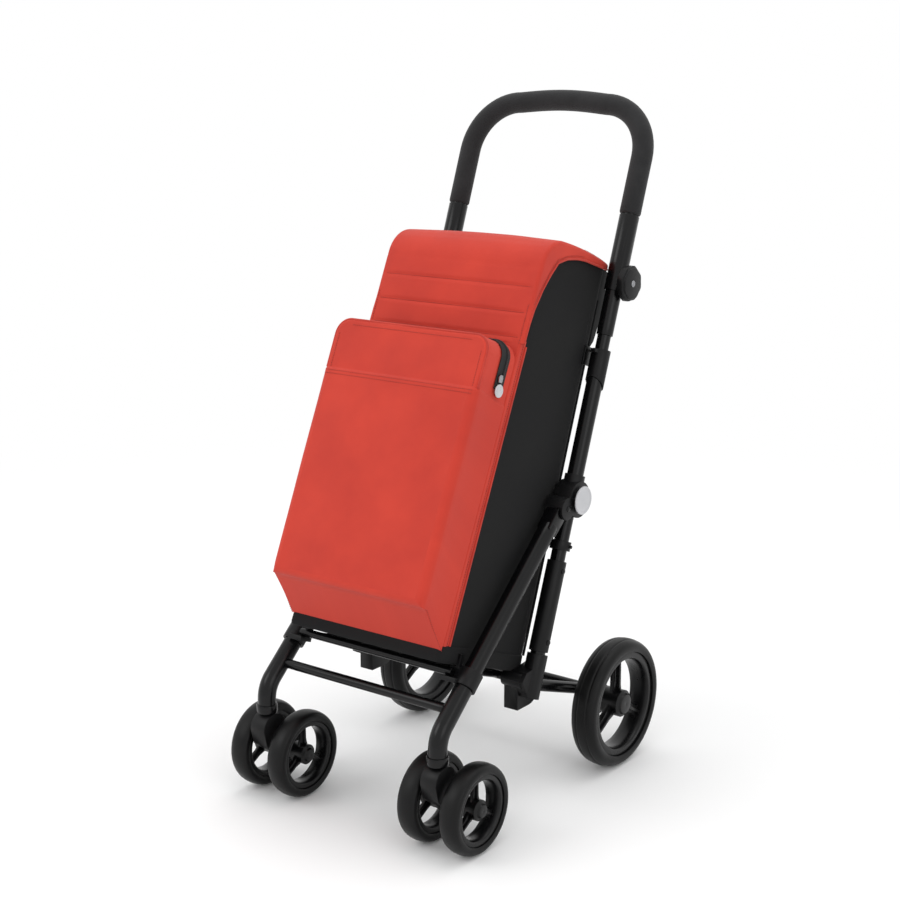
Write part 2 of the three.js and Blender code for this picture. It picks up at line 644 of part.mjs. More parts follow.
const casterRimOuter = 51;
const casterRim = rim({
  outer: casterRimOuter, ring: 42.5, width: 26, hubR: 15, hubWidth: 32, boreR: CASTER_AXLE_R + RUN_GAP,
  spoke: 6, cap: 5, segments: 24,
});
const casterTyre = tyre({
  outer: CASTER_R, inner: casterRimOuter + GAP, width: CASTER_WIDTH, segments: 24,
});
for (const [side, sign] of sides) {
  add(trolley, `caster_fork_${side}`, casterFork(), blackPlastic, sign * TUBE_X, swivel.y, 0);
  for (const [place, out] of [['inner', -1], ['outer', 1]]) {
    const x = sign * (TUBE_X + out * CASTER_HALF_PITCH);
    const y = swivel.y + CASTER_TRAIL;
    const name = `${side}_${place}`;
    add(trolley, `caster_rim_${name}`, mirrored(casterRim, sign * out), blackPlastic, x, y, CASTER_R);
    add(trolley, `caster_tyre_${name}`, casterTyre, rubber, x, y, CASTER_R);
  }
}

// ---------------------------------------------------------------- platform
/** The wire platform: a bar in front, a pivot bar behind, two side bars and wires between. */
function platform() {
  const along = (x, r, sidesOfBar) => {
    const g = new THREE.CylinderGeometry(r, r, PLATFORM_FRONT - PLATFORM_BACK, sidesOfBar);
    return solid(g.translate(x, -(PLATFORM_FRONT + PLATFORM_BACK) / 2, PLATFORM_AT));
  };
  const frontHalf = TUBE_X - LEG_R - 5;
  const wires = Array.from({ length: WIRE_COUNT }, (_, k) => {
    const x = PLATFORM_HALF_WIDTH * ((2 * (k + 1)) / (WIRE_COUNT + 1) - 1);
    return along(x, WIRE_R, 6);
  });
  return join(
    rodX(PLATFORM_R, -platformPivotX, platformPivotX, -PLATFORM_BACK, PLATFORM_AT, 16),
    rodX(PLATFORM_R, -frontHalf, frontHalf, -PLATFORM_FRONT, PLATFORM_AT, 16),
    along(-PLATFORM_HALF_WIDTH + 6, PLATFORM_R - 1, 12),
    along(PLATFORM_HALF_WIDTH - 6, PLATFORM_R - 1, 12),
    ...wires,
  );
}
add(lean, 'platform_frame', platform(), paintedSteel);

// ---------------------------------------------------------------- bag
const bagFront = (up) => BAG_FRONT_LOW - BAG_FRONT_SLOPE * (up - BAG_BOTTOM);
const lidTop = (ahead) => LID_TOP - LID_SLOPE * ahead;

/** The outline, as [y, z], of the lid's line moved inwards: back to front, round the corner, down. */
function lidLine(inset, back, down) {
  const r = LID_CORNER_R - inset;
  const cornerAhead = bagFront(LID_TOP - LID_CORNER_R) - LID_CORNER_R;
  const cornerUp = lidTop(cornerAhead) - LID_CORNER_R;
  return [
    [-back, lidTop(back) - inset],
    ...arc(-cornerAhead, cornerUp, r, 90, 176, 8),
    [-(bagFront(down) - inset), down],
  ];
}

const rimInset = LID_THICK + LID_GAP;

/** The bag: a deep open-topped shell whose sides rise to the lid. */
function bagBody() {
  const bottom = [[-bagFront(BAG_BOTTOM), BAG_BOTTOM], [-BAG_BACK, BAG_BOTTOM]];
  const shoulder = LID_EDGE - 2;
  const outline = [
    [-BAG_BACK, lidTop(0) - rimInset],
    ...lidLine(rimInset, 0, shoulder),
    [-bagFront(shoulder), shoulder],
    ...bottom,
  ];
  const inside = [
    [-BAG_BACK - BAG_WALL, LID_TOP + 40],
    [-(bagFront(LID_TOP) - rimInset - BAG_WALL - 12), LID_TOP + 40],
    [-(bagFront(LID_TOP) - rimInset - BAG_WALL - 12), LID_TOP - LID_CORNER_R - 6],
    [-(bagFront(shoulder) - rimInset - BAG_WALL), shoulder],
    [-(bagFront(BAG_BOTTOM) - rimInset - BAG_WALL), BAG_BOTTOM + BAG_WALL],
    [-BAG_BACK - BAG_WALL, BAG_BOTTOM + BAG_WALL],
  ];
  const w = BAG_HALF_WIDTH;
  return cut(slab(outline, -w, w), slab(inside, -w + BAG_WALL, w - BAG_WALL));
}
add(lean, 'bag_body', bagBody(), blackFabric);

// the stiffening board that lies loose on the bag's floor
const floorFront = bagFront(BAG_BOTTOM) - rimInset - BAG_WALL;
const floorBack = BAG_BACK + BAG_WALL;
const boardUnder = BAG_BOTTOM + BAG_WALL + GAP;
const boardHalf = BAG_HALF_WIDTH - BAG_WALL - BOARD_MARGIN;
add(lean, 'base_board', box(
  -boardHalf, boardHalf, -floorFront + BOARD_MARGIN, -floorBack - BOARD_MARGIN,
  boardUnder, boardUnder + BOARD_THICK,
), blackPlastic);

/** The lid: a bent cover over the mouth and the top of the front, with a skirt down each side. */
function bagLid() {
  const outer = lidLine(0, 2, LID_EDGE);
  const line = (inset) => lidLine(inset, 2, LID_EDGE).reverse();
  const cover = slab([...outer, ...line(LID_THICK)], -LID_HALF_WIDTH, LID_HALF_WIDTH);
  const skirtOutline = [...outer, ...line(LID_SKIRT)];
  const skirtIn = BAG_HALF_WIDTH + LID_GAP;
  const skirt = slab(skirtOutline, skirtIn, LID_HALF_WIDTH);
  return join(cover, skirt, skirt.mirror([1, 0, 0]));
}
add(lean, 'bag_lid', bagLid(), redFabric);

/** The front pocket: a deep shell on the bag's front, with a sloping underside and round top corners. */
function frontPocket() {
  return cut(pocketForm(0), pocketForm(BAG_WALL));
}

/** The pocket's form, moved inwards on every side but the back, which runs on into the bag. */
function pocketForm(inset) {
  const behind = (up) => -(bagFront(up) + 1) + 2 * inset;
  const front = (up) => -(POCKET_FRONT_LOW - POCKET_SLOPE * (up - POCKET_FOLD)) + inset;
  const top = POCKET_TOP - inset;
  const bottom = POCKET_BOTTOM + inset;
  const w = POCKET_HALF_WIDTH - inset;
  const r = 24 - inset;
  const side = slab([
    [behind(top), top], [front(top) + 6, top], [front(top), top - 6], [front(POCKET_FOLD), POCKET_FOLD],
    [behind(bottom) - 6 - inset, bottom], [behind(bottom), bottom],
  ], -w, w);
  const face = new THREE.Shape();
  face.moveTo(-w, bottom - 1).lineTo(w, bottom - 1).lineTo(w, top - r);
  face.absarc(w - r, top - r, r, 0, Math.PI / 2);
  face.lineTo(-w + r, top);
  face.absarc(-w + r, top - r, r, Math.PI / 2, Math.PI);
  const g = new THREE.ExtrudeGeometry(face, { depth: 400, bevelEnabled: false, curveSegments: 5 });
  return side.intersect(solid(g.rotateX(Math.PI / 2)));
}
add(lean, 'front_pocket', frontPocket(), redFabric);

// the pocket's zip slider, on the right-hand side of the upper compartment
const sliderAhead = 208;
const sliderAt = 600;
const slider = join(
  box(0, 3, -3.5, 3.5, -6, 6),
  rodX(8.5, 1.5, 4, 0, -12, 14),
);
add(lean, 'zip_slider', slider, greyCap, POCKET_HALF_WIDTH + RUN_GAP, -sliderAhead, sliderAt);

// the hooks that hang the bag's back edge on the frame
const hookAt = collarSleeveEnd - 12;
const hookIn = BAG_HALF_WIDTH + GAP;
const hookBody = join(
  box(hookIn, hookIn + 3, -14, 6, hookAt - 14, hookAt + 14),
  box(hookIn + 2, TUBE_X - SLEEVE_R - GAP, -8, -3, hookAt + 6, hookAt + 10),
);
addPair(lean, 'bag_hook', hookBody, blackPlastic);

// ---------------------------------------------------------------- origin: middle of the footprint
trolley.updateMatrixWorld(true);
const extent = new THREE.Box3().setFromObject(trolley, true);
const root = new THREE.Group();
trolley.position.set(0, -(extent.min.y + extent.max.y) / 2, -extent.min.z);
root.add(trolley);

export default root;
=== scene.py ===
"""A folding shopping trolley: its looks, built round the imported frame.

Lengths in this file are millimetres and are turned to metres where a mesh is made. The long tubes lean
back, so most places are given in the lean frame: x across, ahead of the tubes' plane, and up the tubes.
"""
import json
import logging
import math
from dataclasses import dataclass, field
from enum import Enum
from typing import Callable, Iterable, Sequence

import bmesh
import bpy
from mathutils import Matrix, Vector, noise


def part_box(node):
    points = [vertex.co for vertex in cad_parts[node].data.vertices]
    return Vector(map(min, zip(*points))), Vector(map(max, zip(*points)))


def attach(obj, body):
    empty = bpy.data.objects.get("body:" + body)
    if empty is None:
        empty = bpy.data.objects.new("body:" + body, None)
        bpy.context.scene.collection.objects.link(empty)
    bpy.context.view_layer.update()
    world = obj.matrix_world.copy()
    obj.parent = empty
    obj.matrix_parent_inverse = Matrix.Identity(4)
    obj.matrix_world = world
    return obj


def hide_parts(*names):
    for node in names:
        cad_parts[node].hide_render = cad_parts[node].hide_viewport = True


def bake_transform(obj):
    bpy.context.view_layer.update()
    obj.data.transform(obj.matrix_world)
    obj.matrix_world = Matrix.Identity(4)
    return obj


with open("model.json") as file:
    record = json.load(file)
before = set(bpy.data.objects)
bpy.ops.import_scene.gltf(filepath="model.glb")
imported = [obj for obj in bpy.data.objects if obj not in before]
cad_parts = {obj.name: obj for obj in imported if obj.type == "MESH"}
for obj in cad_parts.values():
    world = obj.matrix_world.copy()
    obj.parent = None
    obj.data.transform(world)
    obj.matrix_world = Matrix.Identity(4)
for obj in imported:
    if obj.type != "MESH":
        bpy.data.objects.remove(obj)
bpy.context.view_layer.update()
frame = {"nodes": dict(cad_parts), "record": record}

logging.basicConfig(level=logging.INFO, format="%(message)s")
log = logging.getLogger("trolley")

MM = 0.001
LEAN = math.radians(20.3)
TUBE_FOOT_Y = -255.8
TUBE_X = 158.0
CLOTH_UV = "cloth"

Point = tuple[float, float, float]


class Side(Enum):
    """The two sides of the trolley; the value is the sign of x."""

    LEFT = -1
    RIGHT = 1

    @property
    def word(self) -> str:
        """The side's word in node and piece names."""
        return self.name.lower()


class Place(Enum):
    """Where a caster wheel stands on its fork; the value is the sign of its way out from the fork."""

    INNER = -1
    OUTER = 1

    @property
    def word(self) -> str:
        """The place's word in node and piece names."""
        return self.name.lower()


def node_centre(node: str) -> Vector:
    """The middle of a CAD node's box, in mm."""
    low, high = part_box(node)
    return (low + high) / 2 / MM


AXLE_Y = node_centre("rear_rim_right").y


def lean_point(x: float, ahead: float, up: float) -> Vector:
    """A place in the lean frame, given in the upright frame, in mm.

    Args:
        x: distance from the middle plane.
        ahead: distance in front of the long tubes' plane.
        up: distance up the tubes from the floor.

    Returns:
        The same place in the row's frame, in mm.
    """
    y = AXLE_Y + TUBE_FOOT_Y + up * math.sin(LEAN) - ahead * math.cos(LEAN)
    return Vector((x, y, up * math.cos(LEAN) + ahead * math.sin(LEAN)))


# ---------------------------------------------------------------- finishes


def linear(hex_colour: str) -> tuple[float, float, float, float]:
    """Turns an sRGB hex colour to the linear colour that a shader takes."""
    value = hex_colour.lstrip("#")
    channels = [int(value[k : k + 2], 16) / 255 for k in (0, 2, 4)]
    bent = [c / 12.92 if c <= 0.04045 else ((c + 0.055) / 1.055) ** 2.4 for c in channels]
    return (bent[0], bent[1], bent[2], 1.0)


Socket = bpy.types.NodeSocket


def add_node(
    tree: bpy.types.NodeTree,
    kind: str,
    settings: dict[str, object] | None = None,
    inputs: dict[str | int, object] | None = None,
) -> bpy.types.Node:
    """Adds a node, sets it up and links it.

    Args:
        tree: the tree that takes the node.
        kind: the node's type.
        settings: its properties.
        inputs: for each input, a value or an output socket to link from.

    Returns:
        The new node.
    """
    made = tree.nodes.new(kind)
    for name, value in (settings or {}).items():
        setattr(made, name, value)
    for key, value in (inputs or {}).items():
        if isinstance(value, Socket):
            tree.links.new(value, made.inputs[key])
        else:
            made.inputs[key].default_value = value
    return made


@dataclass(frozen=True)
class Finish:
    """A finish of one material: its colour, its shine and the fine relief of its surface.

    The relief is a noise of one grain size, the tone a broader noise that shifts the colour a little.
    """

    name: str
    colour: str
    tone: str
    roughness: float
    rough_spread: float = 0.06
    metallic: float = 0.0
    ior: float = 1.5
    specular: float = 0.5
    coat: float = 0.0
    coat_roughness: float = 0.2
    sheen: float = 0.0
    grain_mm: float = 1.5
    relief_mm: float = 0.05
    tone_mm: float = 60.0

    def coordinates(self, tree: bpy.types.NodeTree) -> Socket:
        """The coordinates that the finish's patterns read, in metres."""
        return add_node(tree, "ShaderNodeTexCoord").outputs["Object"]

    def relief(self, tree: bpy.types.NodeTree, at: Socket) -> Socket:
        """The height of the surface's fine relief, from 0 to 1."""
        grain = add_node(
            tree,
            "ShaderNodeTexNoise",
            inputs={"Vector": at, "Scale": 1 / (self.grain_mm * MM), "Detail": 3.0, "Roughness": 0.6},
        )
        return grain.outputs["Fac"]

    def make(self) -> bpy.types.Material:
        """Builds the material, or returns the one already built."""
        found = bpy.data.materials.get(self.name)
        if found:
            return found
        material = bpy.data.materials.new(self.name)
        material.use_nodes = True
        tree = material.node_tree
        shader = tree.nodes["Principled BSDF"]
        at = self.coordinates(tree)
        cloud = add_node(
            tree,
            "ShaderNodeTexNoise",
            inputs={"Vector": at, "Scale": 1 / (self.tone_mm * MM), "Detail": 4.0, "Roughness": 0.55},
        ).outputs["Fac"]
        self.paint(tree, shader, cloud)
        dull = add_node(
            tree,
            "ShaderNodeMapRange",
            inputs={
                "Value": cloud,
                "From Min": 0.3,
                "From Max": 0.7,
                "To Min": self.roughness - self.rough_spread,
                "To Max": self.roughness + self.rough_spread,
            },
        )
        tree.links.new(dull.outputs["Result"], shader.inputs["Roughness"])
        bump = add_node(
            tree,
            "ShaderNodeBump",
            inputs={"Strength": 1.0, "Distance": self.relief_mm * MM, "Height": self.relief(tree, at)},
        )
        tree.links.new(bump.outputs["Normal"], shader.inputs["Normal"])
        shader.inputs["Metallic"].default_value = self.metallic
        shader.inputs["IOR"].default_value = self.ior
        shader.inputs["Specular IOR Level"].default_value = self.specular
        shader.inputs["Coat Weight"].default_value = self.coat
        shader.inputs["Coat Roughness"].default_value = self.coat_roughness
        shader.inputs["Sheen Weight"].default_value = self.sheen
        return material

    def paint(
        self, tree: bpy.types.NodeTree, shader: bpy.types.Node, cloud: Socket
    ) -> None:
        """Links the base colour, which shifts between the colour and the tone.

        Args:
            tree: the material's tree.
            shader: its Principled shader.
            cloud: the broad noise of the tone.
        """
        ramp = add_node(tree, "ShaderNodeValToRGB", inputs={"Fac": cloud})
        for element, place, colour in zip(ramp.color_ramp.elements, (0.35, 0.65), (self.colour, self.tone)):
            element.position = place
            element.color = linear(colour)
        tree.links.new(ramp.outputs["Color"], shader.inputs["Base Color"])


@dataclass(frozen=True)
class WovenCloth(Finish):
    """A coated plain weave: threads over and under each other, a soft sheen and small slubs."""

    thread_mm: float = 1.3

    def coordinates(self, tree: bpy.types.NodeTree) -> Socket:
        """The cloth's own UV map, which is in metres along the threads."""
        return add_node(tree, "ShaderNodeUVMap", {"uv_map": CLOTH_UV}).outputs["UV"]

    def relief(self, tree: bpy.types.NodeTree, at: Socket) -> Socket:
        """The weave's height: two sets of threads, crossed, with some of the cloth's own unevenness.

        A real thread is about 0.4 mm, too fine to show, so it is drawn three times as coarse.
        """
        threads = [
            add_node(
                tree,
                "ShaderNodeTexWave",
                {"bands_direction": way, "wave_profile": "SIN"},
                {"Vector": at, "Scale": 0.314 / (self.thread_mm * MM), "Distortion": 0.6, "Detail": 1.0},
            ).outputs["Fac"]
            for way in ("X", "Y")
        ]
        crossed = add_node(tree, "ShaderNodeMath", {"operation": "MULTIPLY"}, {0: threads[0], 1: threads[1]})
        slub = super().relief(tree, at)
        mixed = add_node(
            tree,
            "ShaderNodeMath",
            {"operation": "MULTIPLY_ADD"},
            {0: slub, 1: 0.5, 2: crossed.outputs["Value"]},
        )
        return mixed.outputs["Value"]


# polyester with a coated back, piece-dyed: an even, slightly soft colour with a weave that catches light
RED_CLOTH = WovenCloth(
    "red_coated_polyester", "#B33022", "#C23A2A", 0.75, specular=0.25, sheen=0.08,
    relief_mm=0.10, tone_mm=140, grain_mm=6,
)
# the same cloth in black: nearly matt, a little grey where the light falls on it
BLACK_CLOTH = WovenCloth(
    "black_coated_polyester", "#131314", "#191919", 0.82, specular=0.16, sheen=0.02,
    relief_mm=0.10, tone_mm=120, grain_mm=6,
)
# bias-cut tape folded round a cord, the same dye as the cloth but with tighter threads
RED_PIPING = Finish(
    "red_bias_piping", "#A62A1E", "#B83526", 0.66, specular=0.3, sheen=0.08,
    grain_mm=1.2, relief_mm=0.12, tone_mm=40,
)
BLACK_PIPING = Finish(
    "black_bias_tape", "#0E0E0F", "#161617", 0.75, specular=0.2, sheen=0.03,
    grain_mm=1.2, relief_mm=0.12, tone_mm=40,
)
# bonded nylon sewing thread: a tone deeper than the cloth, with a slight gloss
RED_THREAD = Finish("red_nylon_thread", "#7A1A12", "#8C2218", 0.55, grain_mm=0.6, relief_mm=0.05)
BLACK_THREAD = Finish("black_nylon_thread", "#0B0B0C", "#161617", 0.5, grain_mm=0.6, relief_mm=0.05)
# nylon coil zip: matt tape with slightly shiny moulded coils
ZIP_TAPE = Finish("black_zip_tape", "#0C0C0D", "#151516", 0.8, grain_mm=0.8, relief_mm=0.10)
ZIP_COIL = Finish("black_nylon_coil", "#161617", "#202021", 0.35, grain_mm=0.8, relief_mm=0.03)
# polyester powder coat over steel: satin black, with the faint orange peel of a baked coat
POWDER_COAT = Finish(
    "black_powder_coat", "#060607", "#0A0A0B", 0.24, 0.04, specular=0.26,
    grain_mm=1.1, relief_mm=0.035, tone_mm=90,
)
# injection-moulded nylon: fine spark-eroded grain, satin to matt
MOULDED_NYLON = Finish(
    "black_moulded_nylon", "#080809", "#0E0E0F", 0.42, 0.07, specular=0.22, grain_mm=0.7,
    relief_mm=0.05, tone_mm=50,
)
# moulded polypropylene of the rims: a little glossier than the brackets
RIM_PLASTIC = Finish(
    "black_rim_polypropylene", "#070708", "#0C0C0D", 0.3, 0.06, specular=0.26,
    grain_mm=0.9, relief_mm=0.03, tone_mm=45,
)
# silver-grey moulded ABS of the buttons
GREY_ABS = Finish("silver_grey_abs", "#B4B5B8", "#C2C2C5", 0.32, 0.04, grain_mm=0.9, relief_mm=0.015)
# thermoplastic rubber tread: dull, dusty in its grain
TREAD_RUBBER = Finish(
    "moulded_tread_rubber", "#070708", "#0D0D0D", 0.42, 0.09, specular=0.2, grain_mm=1.6,
    relief_mm=0.10, tone_mm=35,
)
# closed-cell foam sleeve: fine pores and no gloss
FOAM_SLEEVE = Finish(
    "closed_cell_foam", "#1C1C1D", "#252526", 0.88, 0.04, specular=0.25, sheen=0.12,
    grain_mm=0.9, relief_mm=0.16, tone_mm=30,
)
# zinc-plated steel of pins and rivets
ZINC_STEEL = Finish(
    "zinc_plated_steel", "#8C8D90", "#A2A3A6", 0.3, 0.08, metallic=1.0, grain_mm=0.8,
    relief_mm=0.02, tone_mm=12,
)


# ---------------------------------------------------------------- mesh tools


@dataclass
class MeshPlan:
    """Corners, faces and cloth coordinates gathered before they become one mesh, in mm."""

    corners: list[Vector] = field(default_factory=list)
    faces: list[tuple[int, ...]] = field(default_factory=list)
    cloth: list[tuple[float, float]] = field(default_factory=list)

    def add(
        self,
        corners: Iterable[Vector],
        faces: Iterable[Sequence[int]],
        cloth: Iterable[tuple[float, float]] | None = None,
    ) -> None:
        """Adds a shape.

        Args:
            corners: its corners.
            faces: its faces, as indices into its own corners.
            cloth: for each corner, its place along the threads, or none.
        """
        start = len(self.corners)
        self.corners.extend(corners)
        self.faces.extend(tuple(start + k for k in f) for f in faces)
        added = len(self.corners) - start
        self.cloth.extend(cloth if cloth is not None else [(0.0, 0.0)] * added)

    def add_grid(
        self,
        rows: Sequence[Sequence[Vector]],
        closed: bool = False,
        cloth: Sequence[Sequence[tuple[float, float]]] | None = None,
    ) -> None:
        """Adds rows of corners joined into quads; a closed grid joins each row's end to its start."""
        wide = len(rows[0])
        across = wide if closed else wide - 1
        faces = [
            (i * wide + j, i * wide + (j + 1) % wide, (i + 1) * wide + (j + 1) % wide, (i + 1) * wide + j)
            for i in range(len(rows) - 1)
            for j in range(across)
        ]
        flat = [uv for row in cloth for uv in row] if cloth is not None else None
        self.add([p for row in rows for p in row], faces, flat)

    def build(self, name: str, finish: Finish, smooth_deg: float = 35.0) -> bpy.types.Object:
        """Makes the mesh object.

        Args:
            name: the piece's name.
            finish: its finish.
            smooth_deg: faces that meet at less than this angle are shaded as one surface.

        Returns:
            The linked object, at the origin, with its faces outwards.
        """
        mesh = bpy.data.meshes.new(name)
        mesh.from_pydata([p * MM for p in self.corners], [], self.faces)
        layer = mesh.uv_layers.new(name=CLOTH_UV)
        for loop in mesh.loops:
            u, v = self.cloth[loop.vertex_index]
            layer.data[loop.index].uv = (u * MM, v * MM)
        cleaned = bmesh.new()
        cleaned.from_mesh(mesh)
        bmesh.ops.remove_doubles(cleaned, verts=cleaned.verts, dist=1e-6)
        bmesh.ops.recalc_face_normals(cleaned, faces=cleaned.faces)
        cleaned.to_mesh(mesh)
        cleaned.free()
        made = bpy.data.objects.new(name, mesh)
        bpy.context.scene.collection.objects.link(made)
        return dress(made, finish, smooth_deg)


def dress(piece: bpy.types.Object, finish: Finish, smooth_deg: float = 35.0) -> bpy.types.Object:
    """Gives a piece its finish and smooth shading up to an angle."""
    piece.data.materials.clear()
    piece.data.materials.append(finish.make())
    piece.data.shade_smooth()
    piece.data.set_sharp_from_angle(angle=math.radians(smooth_deg))
    return piece


def settle(
    piece: bpy.types.Object, body: str, replaced: Sequence[str] = ()
) -> bpy.types.Object:
    """Puts a finished piece on its body and logs it.

    Args:
        piece: the finished piece.
        body: the CAD body that it rides on.
        replaced: the CAD nodes that it stands for.

    Returns:
        The piece.
    """
    if replaced:
        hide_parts(*replaced)
    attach(piece, body)
    log.info("%s on %s, %d faces", piece.name, body, len(piece.data.polygons))
    return piece


def with_modifiers(piece: bpy.types.Object) -> bpy.types.Object:
    """Applies a piece's modifiers and keeps the result as its plain mesh."""
    bpy.context.view_layer.update()
    graph = bpy.context.evaluated_depsgraph_get()
    result = bpy.data.meshes.new_from_object(piece.evaluated_get(graph), depsgraph=graph)
    piece.modifiers.clear()
    piece.data = result
    return piece


def thicken(piece: bpy.types.Object, wall_mm: float, offset: float = -1.0) -> bpy.types.Object:
    """Gives a sheet a wall of cloth, inwards by default, and applies it."""
    wall = piece.modifiers.new("wall", "SOLIDIFY")
    wall.thickness = wall_mm * MM
    wall.offset = offset
    wall.use_even_offset = False
    return with_modifiers(piece)


def refined_copy(node: str, finish: Finish, edge_mm: float = 0.8) -> bpy.types.Object:
    """A CAD node's mesh with its flat faces joined and its edges rounded.

    Args:
        node: the CAD node.
        finish: the copy's finish.
        edge_mm: the radius of the rounded edges.

    Returns:
        The new piece, named for the node.
    """
    mesh = frame["nodes"][node].data.copy()
    solid = bmesh.new()
    solid.from_mesh(mesh)
    bmesh.ops.remove_doubles(solid, verts=solid.verts, dist=2e-5)
    bmesh.ops.dissolve_limit(
        solid, angle_limit=math.radians(1.5), verts=solid.verts, edges=solid.edges, delimit=set()
    )
    bmesh.ops.triangulate(solid, faces=[f for f in solid.faces if len(f.verts) > 40])
    solid.to_mesh(mesh)
    solid.free()
    mesh.name = f"{node}_finished"
    made = bpy.data.objects.new(f"{node}_finished", mesh)
    bpy.context.scene.collection.objects.link(made)
    rounding = made.modifiers.new("edge", "BEVEL")
    rounding.width = edge_mm * MM
    rounding.segments = 2
    rounding.limit_method = "ANGLE"
    rounding.angle_limit = math.radians(38)
    with_modifiers(made)
    return dress(made, finish, 38)


BODY_OF: dict[str, str] = {
    node: body
    for body, nodes in frame["record"]["behaviour"]["bodies"].items()
    for node in nodes
}


def refine_node(node: str, finish: Finish, edge_mm: float = 0.8) -> bpy.types.Object:
    """Replaces a CAD node by its rounded copy, on the node's own body."""
    return settle(refined_copy(node, finish, edge_mm), BODY_OF[node], [node])


def arc_points(radius: float, start: float, end: float, count: int) -> list[tuple[float, float]]:
    """Points of an arc about the origin, from one angle to another in degrees."""
    angles = [math.radians(start + (end - start) * k / count) for k in range(count + 1)]
    return [(radius * math.cos(a), radius * math.sin(a)) for a in angles]


def sweep(
    path: Sequence[Vector], radius: float, sides: int = 32, bore: float = 0.0, ends: float = 1.0
) -> MeshPlan:
    """A round bar or tube along a path, with rounded end edges.

    Args:
        path: the points of the middle line.
        radius: the bar's radius.
        sides: the faces round it.
        bore: the radius of its hole, or 0 for a solid bar.
        ends: how far its end edges are rounded.

    Returns:
        The shape.
    """
    points = [p.copy() for p in path]
    tangents = []
    for k in range(len(points)):
        back = (points[k] - points[max(k - 1, 0)]).normalized()
        on = (points[min(k + 1, len(points) - 1)] - points[k]).normalized()
        tangents.append((back + on).normalized())
    side = tangents[0].orthogonal().normalized()
    rings: list[list[Vector]] = []

    def ring(at: Vector, tangent: Vector, r: float) -> list[Vector]:
        other = tangent.cross(side).normalized()
        turns = [2 * math.pi * j / sides for j in range(sides)]
        return [at + side * (r * math.cos(a)) + other * (r * math.sin(a)) for a in turns]

    inner = max(bore, 0.05)
    first, last = tangents[0], tangents[-1]
    rings.append(ring(points[0], first, inner))
    rings.append(ring(points[0], first, radius - ends))
    rings.append(ring(points[0] + first * ends * 0.3, first, radius - ends * 0.3))
    for k, (at, tangent) in enumerate(zip(points, tangents)):
        side = (side - tangent * side.dot(tangent)).normalized()
        where = at + tangent * ends if k == 0 else at - tangent * ends if k == len(points) - 1 else at
        rings.append(ring(where, tangent, radius))
    rings.append(ring(points[-1] - last * ends * 0.3, last, radius - ends * 0.3))
    rings.append(ring(points[-1], last, radius - ends))
    rings.append(ring(points[-1], last, inner))
    if bore > 0:
        for at, tangent in zip(reversed(points), reversed(tangents)):
            rings.append(ring(at, tangent, inner))
    plan = MeshPlan()
    plan.add_grid(rings, closed=True)
    if bore <= 0:
        count = len(rings)
        plan.faces.append(tuple(range(sides)))
        plan.faces.append(tuple((count - 1) * sides + j for j in reversed(range(sides))))
    return plan


def straight(start: Vector, end: Vector) -> list[Vector]:
    """A straight path with stations close enough for even shading."""
    steps = max(2, int((end - start).length / 20))
    return [start.lerp(end, k / steps) for k in range(steps + 1)]


def lathe_x(
    section: Sequence[tuple[float, float]], centre: Vector, segments: int = 72, closed: bool = True
) -> MeshPlan:
    """Turns a half section of (x, radius) points about the X axis through a centre.

    Args:
        section: the half section; a closed one returns to its first point.
        centre: the point that x and radius are measured from.
        segments: faces round the turn.
        closed: joins the section's end to its start.

    Returns:
        The shape.
    """
    loop = [*section, section[0]] if closed else list(section)
    rows = []
    for x, radius in loop:
        turns = [2 * math.pi * j / segments for j in range(segments)]
        r = max(radius, 0.02)
        rows.append([centre + Vector((x, r * math.cos(a), r * math.sin(a))) for a in turns])
    plan = MeshPlan()
    plan.add_grid(rows, closed=True)
    return plan


def prism_x(
    outline: Sequence[tuple[float, float]], x0: float, x1: float, centre: Vector, turn: float = 0.0
) -> MeshPlan:
    """A side outline of (y, z) points made x0 to x1 wide, turned about X through a centre."""
    c, s = math.cos(turn), math.sin(turn)
    spun = [(y * c - z * s, y * s + z * c) for y, z in outline]
    count = len(spun)
    low = [centre + Vector((x0, y, z)) for y, z in spun]
    high = [centre + Vector((x1, y, z)) for y, z in spun]
    faces = [(k, (k + 1) % count, count + (k + 1) % count, count + k) for k in range(count)]
    faces += [tuple(reversed(range(count))), tuple(range(count, 2 * count))]
    plan = MeshPlan()
    plan.add(low + high, faces)
    return plan


def bevelled(piece: bpy.types.Object, edge_mm: float, segments: int = 2) -> bpy.types.Object:
    """Rounds a piece's sharp edges and keeps the result as its mesh."""
    rounding = piece.modifiers.new("edge", "BEVEL")
    rounding.width = edge_mm * MM
    rounding.segments = segments
    rounding.limit_method = "ANGLE"
    rounding.angle_limit = math.radians(35)
    made = with_modifiers(piece)
    made.data.shade_smooth()
    made.data.set_sharp_from_angle(angle=math.radians(38))
    return made


def joined(name: str, parts: Sequence[bpy.types.Object]) -> bpy.types.Object:
    """Joins pieces of one finish into one mesh under a new name."""
    whole = bmesh.new()
    for part in parts:
        whole.from_mesh(part.data)
    keep = parts[0]
    whole.to_mesh(keep.data)
    whole.free()
    for part in parts[1:]:
        bpy.data.objects.remove(part)
    keep.name = name
    keep.data.name = name
    return keep


# ---------------------------------------------------------------- repeated details


